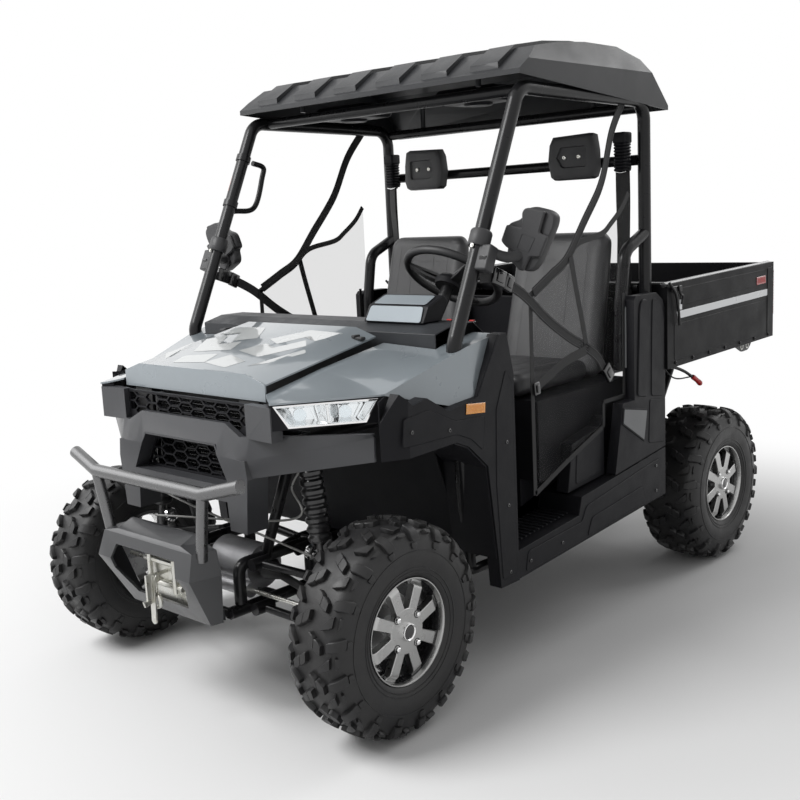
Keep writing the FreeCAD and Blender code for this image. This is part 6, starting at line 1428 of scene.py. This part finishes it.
def bedTrim():
    # a rolled lip coloured lighter than the bed, a silver stripe, ribs inside and a bent rod latch at the
    # front
    bed = {"stripe": ((1.556, 1.026), (2.362, 1.046), (2.356, 1.073), (1.548, 1.054)), "lip": 0.0105,
           "floorRibs": 9, "wallRibs": 5, "front": 1.160}
    body = bodyOf["bed"]
    low, high = corners("bed")
    side = high[0]
    front, rear = low[1] - frontAxle, high[1] - frontAxle
    slope = (high[2] - bed["front"]) / (rear - front)
    piece("bed_stripes", [sidePlate(bed["stripe"], side - 0.0002, 0.0010, 0.0003)], "silver", body,
          "bed_plastic", True)
    # the lip: a tube along the top of both sides and the front, its corners turned
    across = side - 0.012
    path = along([at(across, rear - 0.030, high[2] - 0.004),
                  at(across, (front + rear) / 2, bed["front"] + slope * (rear - front) / 2 - 0.003),
                  at(across, front + 0.035, 1.158), at(across - 0.006, front + 0.016, 1.1575),
                  at(across - 0.035, front + 0.012, 1.157)])
    lips = [tube(curve(path, 60), bed["lip"], 14)]
    piece("bed_lips", lips, "bedLip", body, "bed_plastic", True)
    frontLip = tube([at(across, front + 0.012, 1.157) for across in (-0.655, 0, 0.655)], bed["lip"], 14)
    piece("bed_front_lip", [frontLip], "bedLip", body, "bed_plastic")
    # pressed fields on the outer skin, above and below the stripe
    fields = [sidePlate([(front + 0.10, 1.074), (rear - 0.075, 1.094), (rear - 0.075, 1.158),
                         (front + 0.10, 1.140)], side - 0.001, 0.0022, 0.0012, 0.010),
              sidePlate([(front + 0.05, 0.872), (rear - 0.075, 0.884), (rear - 0.075, 1.028),
                         (front + 0.05, 1.008)], side - 0.001, 0.0022, 0.0012, 0.012),
              sidePlate([(rear - 0.062, 0.882), (rear - 0.012, 0.884), (rear - 0.012, 1.165),
                         (rear - 0.062, 1.160)], side - 0.001, 0.0030, 0.0015, 0.006)]
    piece("bed_fields", fields, "bed_plastic", body, "bed_plastic", True)
    # floor ribs, inside the box
    ribs = [roundedBox((across, (low[1] + high[1]) / 2, 0.8835), (0.050, high[1] - low[1] - 0.10, 0.009),
                       0.004) for across in np.linspace(-0.56, 0.56, bed["floorRibs"])]
    piece("bed_floor_ribs", ribs, "bed_plastic", body, "bed_plastic")
    wall = [roundedBox(at(side - 0.026, place, 1.02), (0.006, 0.045, 0.235), 0.0028)
            for place in np.linspace(front + 0.16, rear - 0.14, bed["wallRibs"])]
    piece("bed_wall_ribs", wall, "bed_plastic", body, "bed_plastic", True)
    # the front latch: a bent rod on the box, its bracket and a silver tag
    rod = curve([at(side + 0.010, 1.476, 1.165), at(side + 0.012, 1.520, 1.122),
                 at(side + 0.012, 1.540, 1.060), at(side + 0.012, 1.548, 1.004)], 30)
    second = curve([at(side + 0.010, 1.545, 1.150), at(side + 0.012, 1.556, 1.120),
                    at(side + 0.012, 1.575, 1.110), at(side + 0.010, 1.568, 1.080)], 24)
    bracket = [sidePlate([(1.500, 1.128), (1.582, 1.128), (1.578, 1.150), (1.504, 1.150)], side, 0.008, 0.002,
                         0.004)]
    piece("bed_latches", [tube(rod, 0.0052, 12), tube(second, 0.004, 12)] + bracket, "black_tube", body,
          "black_tube", True)
    tag = sidePlate([(1.556, 1.060), (1.574, 1.060), (1.574, 1.098), (1.556, 1.098)], side + 0.006, 0.003,
                    0.001, 0.003)
    piece("bed_latch_tags", [tag], "silver", body, "bed_plastic", True)
    print("stage: bed")


bedTrim()


def tailgateTrim():
    # hooks at both ends, two pressed fields and a handle
    tail = {"hooks": (1.128, 1.055), "fields": ((0.905, 1.020), (1.060, 1.145)), "field": 0.60}
    gateHigh = corners("tailgate")[1]
    gate = bodyOf["tailgate"]
    hooks = [roundedBox((0.662, gateHigh[1] - 0.002, height), (0.040, 0.016, 0.024), 0.004)
             for height in tail["hooks"]]
    piece("tailgate_hooks", hooks, "black_tube", gate, "black_tube", True)
    half = tail["field"]
    panel = [slab([(-half, low), (half, low), (half, high), (-half, high)], (0, gateHigh[1] - 0.001, 0),
                  (-1, 0, 0), (0, 0, 1), 0.003, 0.0015, 0.014) for low, high in tail["fields"]]
    piece("tailgate_fields", panel, "bed_plastic", gate, slotOf["tailgate"])
    handle = [roundedBox((0, gateHigh[1] + 0.003, 1.105), (0.16, 0.006, 0.034), 0.0028),
              roundedBox((0, gateHigh[1] + 0.0045, 1.112), (0.12, 0.004, 0.012), 0.0018)]
    piece("tailgate_handle", handle, "blackGloss", gate, slotOf["tailgate"])
    print("stage: tailgate")


tailgateTrim()


def bedFittings():
    # ribbed red glass on the tail lamps, and what hangs below the box
    fit = {"lampRibs": 16, "bracketHoles": (2.178, 2.228), "bolts": 7, "bolt": 0.0065}
    body = bodyOf["bed"]
    low, high = corners("bed")
    side = high[0]
    front, rear = low[1] - frontAxle, high[1] - frontAxle
    lampLow, lampHigh = corners("tail_lamps")
    lens = []
    for step in range(fit["lampRibs"]):
        height = lampLow[2] + 0.008 + step * (lampHigh[2] - lampLow[2] - 0.016) / (fit["lampRibs"] - 1)
        lens.append(roundedBox((lampHigh[0] - 0.011, lampHigh[1] - 0.0012, height), (0.018, 0.0024, 0.0085),
                               0.0011))
    piece("tail_lamp_ribs", lens, "redLens", body, slotOf["tail_lamps"], True)
    # the swept hinge plates below the box, each with two bright-rimmed holes
    bracket = [sidePlate([(2.040, 0.862), (2.115, 0.850), (2.180, 0.820), (2.240, 0.822), (2.270, 0.846),
                          (2.276, 0.868)], 0.655, 0.007, 0.0015, 0.012)]
    holes = []
    for place in fit["bracketHoles"]:
        holes.append(lathe([(0, 0.013), (0.0085, 0.013), (0.0085, 0.009), (0, 0.009)],
                           at(0.655, place, 0.843), (1, 0, 0), 24, True))
    piece("bed_brackets", bracket, "black_tube", body, "black_tube", True)
    piece("bed_bracket_rims", holes, "zinc", body, "zinc", True)
    # the tip release: two bent rods that end in a red grip under the left side
    grip = curve([at(0.585, 1.668, 0.824), at(0.592, 1.730, 0.812), at(0.600, 1.800, 0.786),
                  at(0.606, 1.862, 0.752)], 30)
    loop = curve([at(0.585, 1.668, 0.812), at(0.592, 1.700, 0.782), at(0.596, 1.752, 0.764),
                  at(0.604, 1.832, 0.760)], 30)
    piece("tip_release_rods", [tube(grip, 0.0062, 12), tube(loop, 0.003, 8)], "black_tube", slot="black_tube")
    tip = curve([at(0.606, 1.850, 0.760), at(0.608, 1.885, 0.740), at(0.610, 1.915, 0.720)], 14)
    thick = np.interp(np.linspace(0, 1, 14), [0, 0.1, 0.5, 0.9, 1], [0.008, 0.0105, 0.0095, 0.0115, 0.008])
    piece("tip_release_grip", [tube(tip, thick, 16)], "redPaint", slot="black_tube")
    places = [at(side + 0.0005, place, 0.862 + (place - front) * 0.018)
              for place in np.linspace(front + 0.06, rear - 0.05, fit["bolts"])]
    for name, hand in (("bed_bolts", 1), ("bed_bolts_right", -1)):
        boltSet(name, along(places) * (hand, 1, 1), (hand, 0, 0), body, fit["bolt"], "black_tube", screwHead,
                "black_tube")
    print("stage: bed fittings")


bedFittings()


def sideTrim():
    # the quarter panel's two standing columns and grey patch, the sill's fields, the flare's inner edge
    trim = {"face": 0.690, "edge": 0.654, "treads": 12, "screw": 0.0062}
    outside = {node: corners(node)[1][0]
               for node in ("quarter_panels", "sills", "seat_cheeks", "front_fenders")}
    face = trim["face"]
    inner = [(1.272, 0.776), (1.340, 0.764), (1.356, 0.95), (1.368, 1.085), (1.350, 1.112), (1.322, 1.124),
             (1.298, 1.112), (1.290, 1.080)]
    outer = [(1.372, 0.762), (1.462, 0.750), (1.468, 1.030), (1.452, 1.080), (1.420, 1.112), (1.384, 1.118),
             (1.378, 1.000)]
    columns = [sidePlate(inner, face - 0.001, 0.006, 0.003, 0.014),
               sidePlate(outer, face - 0.001, 0.004, 0.002, 0.014),
               sidePlate([(1.352, 0.590), (1.462, 0.574), (1.462, 0.738), (1.362, 0.752)], face - 0.001,
                         0.003, 0.002, 0.010)]
    piece("quarter_columns", columns, "cab_plastic", slot=slotOf["quarter_panels"], both=True)
    patch = [sidePlate([(1.181, 0.744), (1.336, 0.715), (1.314, 0.611), (1.173, 0.695)],
                       outside["quarter_panels"] - 0.0004, 0.0016, 0.0006, 0.004)]
    piece("quarter_patches", patch, "greyPanel", slot=slotOf["quarter_panels"], both=True)
    strip = [sidePlate([(1.262, 0.880), (1.250, 0.880), (1.252, 1.09), (1.262, 1.115), (1.270, 1.09)],
                       trim["edge"], 0.006, 0.002, 0.004)]
    piece("quarter_edges", strip, "greyPanel", slot=slotOf["quarter_panels"], both=True)
    side = outside["sills"]
    fields = [sidePlate([(0.575, 0.318), (1.440, 0.372), (1.440, 0.520), (1.300, 0.504), (0.930, 0.452),
                         (0.900, 0.404), (0.590, 0.384)], side - 0.001, 0.0035, 0.0022, 0.014),
              sidePlate([(0.930, 0.345), (1.330, 0.372), (1.300, 0.440), (0.960, 0.405)], side + 0.002, 0.003,
                        0.002, 0.014)]
    piece("sill_fields", fields, "cab_plastic", slot=slotOf["sills"], both=True)
    treads = [roundedBox(at(0.60, place, 0.4165 + (place - 0.60) * 0.085), (0.120, 0.008, 0.005), 0.002)
              for place in np.linspace(0.60, 0.86, trim["treads"])]
    piece("sill_treads", treads, "cab_plastic", slot=slotOf["sills"], both=True)
    cheek = [sidePlate([(0.930, 0.520), (1.090, 0.534), (1.090, 0.690), (0.940, 0.640)],
                       outside["seat_cheeks"] - 0.001, 0.0035, 0.002, 0.012)]
    piece("cheek_fields", cheek, "cab_plastic", slot=slotOf["seat_cheeks"], both=True)
    edge = outside["front_fenders"]
    flare = [sidePlate([(0.448, 0.330), (0.522, 0.330), (0.522, 0.940), (0.492, 0.985), (0.440, 0.870),
                        (0.430, 0.640)], edge - 0.001, 0.003, 0.002, 0.012),
             sidePlate([(0.020, 0.830), (0.255, 0.826), (0.318, 0.800), (0.372, 0.755), (0.385, 0.860),
                        (0.250, 0.868), (0.135, 0.920), (0.030, 0.910)], edge - 0.001, 0.0025, 0.0018, 0.012)]
    piece("flare_fields", flare, "cab_plastic", slot=slotOf["front_fenders"], both=True)
    spots = [at(edge + 0.0002, *place) for place in ((0.487, 0.345), (0.487, 0.560), (0.487, 0.760),
                                                                    (0.060, 0.868), (0.220, 0.845))]
    sillSpots = [at(side + 0.0022, *place) for place in ((0.600, 0.350), (0.780, 0.362), (1.400, 0.400),
                                                                        (1.400, 0.495))]
    whole = along(spots + sillSpots)
    for name, hand in (("side_screws", 1), ("side_screws_right", -1)):
        boltSet(name, whole * (hand, 1, 1), (hand, 0, 0), radius=trim["screw"], finish="blackGloss",
                part=screwHead, slot="cab_plastic")
    print("stage: side trim")


sideTrim()


def radiator():
    # flat tubes with zigzag fins between them, two end tanks, a shroud and two baffles behind the grilles
    core = {"half": 0.205, "low": 0.660, "high": 0.940, "front": -0.136, "deep": 0.030, "rows": 22,
            "pleats": 60}
    place = frontAxle + core["front"]
    tanks = [roundedBox((side * (core["half"] + 0.012), place + core["deep"] / 2,
                         (core["low"] + core["high"]) / 2),
                        (0.028, core["deep"] + 0.012, core["high"] - core["low"]), 0.006) for side in (-1, 1)]
    heights = np.linspace(core["low"] + 0.008, core["high"] - 0.008, core["rows"])
    rows = [roundedBox((0, place + core["deep"] / 2, height), (core["half"] * 2, core["deep"] * 0.8, 0.0025),
                       0.001) for height in heights]
    # between two flat tubes one strip of fin goes up and down in a zigzag
    zig = []
    step = heights[1] - heights[0]
    across = np.linspace(-core["half"] + 0.002, core["half"] - 0.002, core["pleats"])
    rise = np.where(np.arange(core["pleats"]) % 2, 0.42, -0.42) * step
    for height in heights[:-1] + step / 2:
        top = np.stack([across, np.full(len(across), place + 0.004), height + rise], -1)
        back = top + (0, core["deep"] * 0.7, 0)
        edge = along((0, 0, 0.0004))
        rings = np.stack([top - edge, top + edge, back + edge, back - edge], 1)
        zig.append(swept(rings))
    piece("radiator_tubes", tanks + rows, "rimBlack", slot="cast_alloy")
    piece("radiator_fins", zig, "boot", slot="cast_alloy", tidy=False)
    shroud = [roundedBox((0, place + core["deep"] + 0.012, (core["low"] + core["high"]) / 2),
                         (0.46, 0.012, 0.300), 0.004)]
    # baffles fill the sides between the core and the nose
    shroud += [roundedBox((side * 0.262, frontAxle - 0.148, 0.898), (0.088, 0.004, 0.112), 0.001)
               for side in (-1, 1)]
    piece("radiator_shroud", shroud, "engine_block", slot="cab_plastic")
    print("stage: radiator")


radiator()


def hoodTrim():
    # pale angular fields on the blue grey, each a thin film that follows the hood, and two rubber latches
    trim = {"film": 0.0006, "corner": 0.006, "latch": (0.044, 0.020, 0.010), "latchBehind": 0.244}
    hoodHigh = corners("hood")[1]
    surfaceTree = surfaceOf("hood")

    def film(outline):
        # a fan of small cells over the outline, dropped straight down onto the hood
        outline = filleted(outline, trim["corner"], 3)
        centre = outline.mean(0)
        rings = [centre + (outline - centre) * share for share in (1, 0.86, 0.7, 0.52, 0.32, 0.12)]
        flat = np.concatenate(rings)
        height = []
        for x, y in flat:
            hit = surfaceTree.ray_cast(Vector((x, y, hoodHigh[2] + 0.2)), Vector((0, 0, -1)))[0]
            height.append(hit.z if hit else np.nan)
        height = along(height)
        height[np.isnan(height)] = np.nanmean(height)
        points = np.concatenate([flat, (height + trim["film"])[:, None]], 1)
        count = len(outline)
        faces = [gridFaces(len(rings), count, False, True),
                 (np.arange(count) + count * (len(rings) - 1))[None]]
        return points, faces

    def field(*places):
        return [(x, frontAxle + behind) for x, behind in places]

    fields = [field((0.02, 0.02), (0.16, -0.02), (0.245, 0.10), (0.19, 0.15), (0.13, 0.06), (0.06, 0.10)),
              field((0.03, 0.14), (0.11, 0.10), (0.17, 0.19), (0.235, 0.145), (0.27, 0.235), (0.11, 0.245)),
              field((0.0, -0.10), (0.13, -0.125), (0.15, -0.06), (0.03, -0.02)),
              field((0.20, -0.10), (0.255, -0.06), (0.285, 0.06), (0.268, 0.075))]
    shapes = fields + [[(-x, y) for x, y in reversed(shape)] for shape in fields]
    piece("hood_pattern", [film(shape) for shape in shapes], "palePattern", bodyOf["hood"], "paint_blue")
    spot = at(hoodHigh[0] - 0.006, trim["latchBehind"], 0)
    hit = surfaceTree.ray_cast(Vector((spot[0] - 0.012, spot[1], 1.4)), Vector((0, 0, -1)))[0]
    height = hit.z if hit else hoodHigh[2] - 0.03
    latches = [roundedBox((spot[0] - 0.014, spot[1], height + 0.004), trim["latch"], 0.004),
               roundedBox((spot[0] - 0.026, spot[1], height + 0.010), (0.014, 0.028, 0.009), 0.003)]
    piece("hood_latches", latches, "boot", bodyOf["hood"], "paint_blue", True)
    print("stage: hood")


hoodTrim()


def winchTrim():
    # one layer of rope wound on the drum, a hook and a flat tongue
    winch = {"laps": 24, "pitch": 0.0064, "hookFront": -1.352, "curl": 0.019}
    drum = along((0, -1.263, 0.433))
    front = winch["hookFront"]
    rope = []
    for lap in range(winch["laps"]):
        ring = lathe([(-0.0036, 0.0285), (0, 0.0315), (0.0036, 0.0285)],
                     drum + along(((lap - (winch["laps"] - 1) / 2) * winch["pitch"], 0, 0)), (1, 0, 0), 28,
                     True)
        rope.append(ring)
    piece("winch_rope", rope, "hose", slot=slotOf["fairlead"])
    # the hook hangs in front of the rollers: a straight shank, then the curl
    turn = np.linspace(-0.4 * math.pi, 1.05 * math.pi, 26)
    curl = np.stack([np.sin(turn) * winch["curl"], np.full(26, front), 0.356 - np.cos(turn) * winch["curl"]],
                    -1)
    path = np.concatenate([[(0.0, front, 0.425), (0.0, front, 0.402)], curl[::-1]])
    thick = np.interp(np.linspace(0, 1, 60), [0, 0.3, 0.8, 1], [0.0065, 0.0075, 0.0065, 0.004])
    eye = lathe([(-0.014, 0.0105), (-0.010, 0.0125), (0.010, 0.0125), (0.014, 0.0105)], (0, front, 0.428),
                (1, 0, 0), 24)
    piece("winch_hook", [tube(curve(path, 60), thick, 14), eye], "zinc", slot=slotOf["fairlead"])
    tongue = [strap(curve([(0.0, -1.361, 0.440), (0.001, -1.364, 0.380), (0.003, -1.368, 0.300)], 12), 0.024,
                    0.005, (1, 0, 0)),
              lathe([(-0.0025, 0.002), (-0.0025, 0.012), (0.0025, 0.012), (0.0025, 0.002)],
                    (0.003, -1.368, 0.300), (0, 1, 0), 24)]
    piece("winch_tongue", tongue, "zinc", slot=slotOf["fairlead"])
    print("stage: winch")


winchTrim()


def shockDetail():
    # bright perches at both ends of each coil, and a brake hose beside each front one
    shock = {"inset": (0.030, 0.028), "hose": 0.0036}
    inset, rise = shock["inset"]
    for node, hand in (("front_shocks", 1), ("front_shocks", -1), ("rear_shocks", 1), ("rear_shocks", -1)):
        low, high = corners(node)
        middle = (low[1] + high[1]) / 2
        top = along((low[0] + inset, middle, high[2] - rise)) * (hand, 1, 1)
        foot = along((high[0] - inset, middle, low[2] + rise)) * (hand, 1, 1)
        axis = (foot - top) / np.linalg.norm(foot - top)
        label = node + ("_left" if hand > 0 else "_right")
        perch = lathe([(0.030, 0.008), (0.030, 0.020), (0.034, 0.024), (0.044, 0.024), (0.048, 0.020),
                       (0.052, 0.020), (0.056, 0.008)], top, axis, 36, True)
        cup = lathe([(-0.062, 0.008), (-0.062, 0.020), (-0.056, 0.025), (-0.044, 0.025), (-0.040, 0.018),
                     (-0.040, 0.008)], foot, axis, 36, True)
        piece(label + "_perches", [perch, cup], "chrome", slot="zinc")
        if node == "front_shocks":
            way = along((hand, 1, 1))
            hose = curve([top + along((0.03, -0.02, -0.03)) * way, top + along((0.065, -0.045, -0.10)) * way,
                          top + along((0.075, -0.050, -0.20)) * way,
                          foot + along((-0.01, -0.035, 0.02)) * way], 40)
            piece(label + "_hose", [tube(hose, shock["hose"], 10)], "hose", slot="boot")
    print("stage: shocks")


shockDetail()


def roofDetail():
    # the grab handle on the passenger's pillar with a blank label, and moulded pods under the roof
    roof = {"feet": (0.505, 0.690), "label": (0.56, 0.62), "ceiling": 1.845, "pod": 0.30, "podBehind": 0.91}
    bends = ((0.672, 1.680), (0.722, 1.664), (0.716, 1.628), (0.664, 1.512), (0.560, 1.500))
    grip = curve([at(-0.628, *place) for place in bends], 50)
    slot = slotOf["grab_handle"]
    piece("grab_handle_tube", [tube(grip, 0.0103, 18)], "black_tube", slot=slot, replaces=("grab_handle",))
    base, _, way = pillarLine(-1)
    feet = [lathe([(-0.012, 0.0236), (-0.012, 0.0275), (0.012, 0.0275), (0.012, 0.0236)], base + way * reach,
                  way, 36, True) for reach in roof["feet"]]
    piece("grab_handle_feet", feet, "black_tube", slot=slot)
    # under the roof: two moulded pods, each with a round cup
    pods = []
    for side in (-roof["pod"], roof["pod"]):
        middle = at(side, roof["podBehind"], roof["ceiling"])
        pods.append(roundedBox(middle, (0.26, 0.17, 0.050), 0.020))
        pods.append(lathe([(0, 0.052), (-0.030, 0.050), (-0.034, 0.044), (-0.032, 0.002)], middle, (0, 0, 1),
                          40))
    piece("roof_pods", pods, "cab_plastic", slot=slotOf["roof"], smooth=35)
    label = [strap(np.stack([base + way * reach + along((-0.0010, -0.0236, 0.0))
                             for reach in np.linspace(*roof["label"], 6)]), 0.016, 0.0008, (1, 0, 0))]
    piece("pillar_label", label, "reddishLabel", slot="black_tube")
    print("stage: roof")


roofDetail()
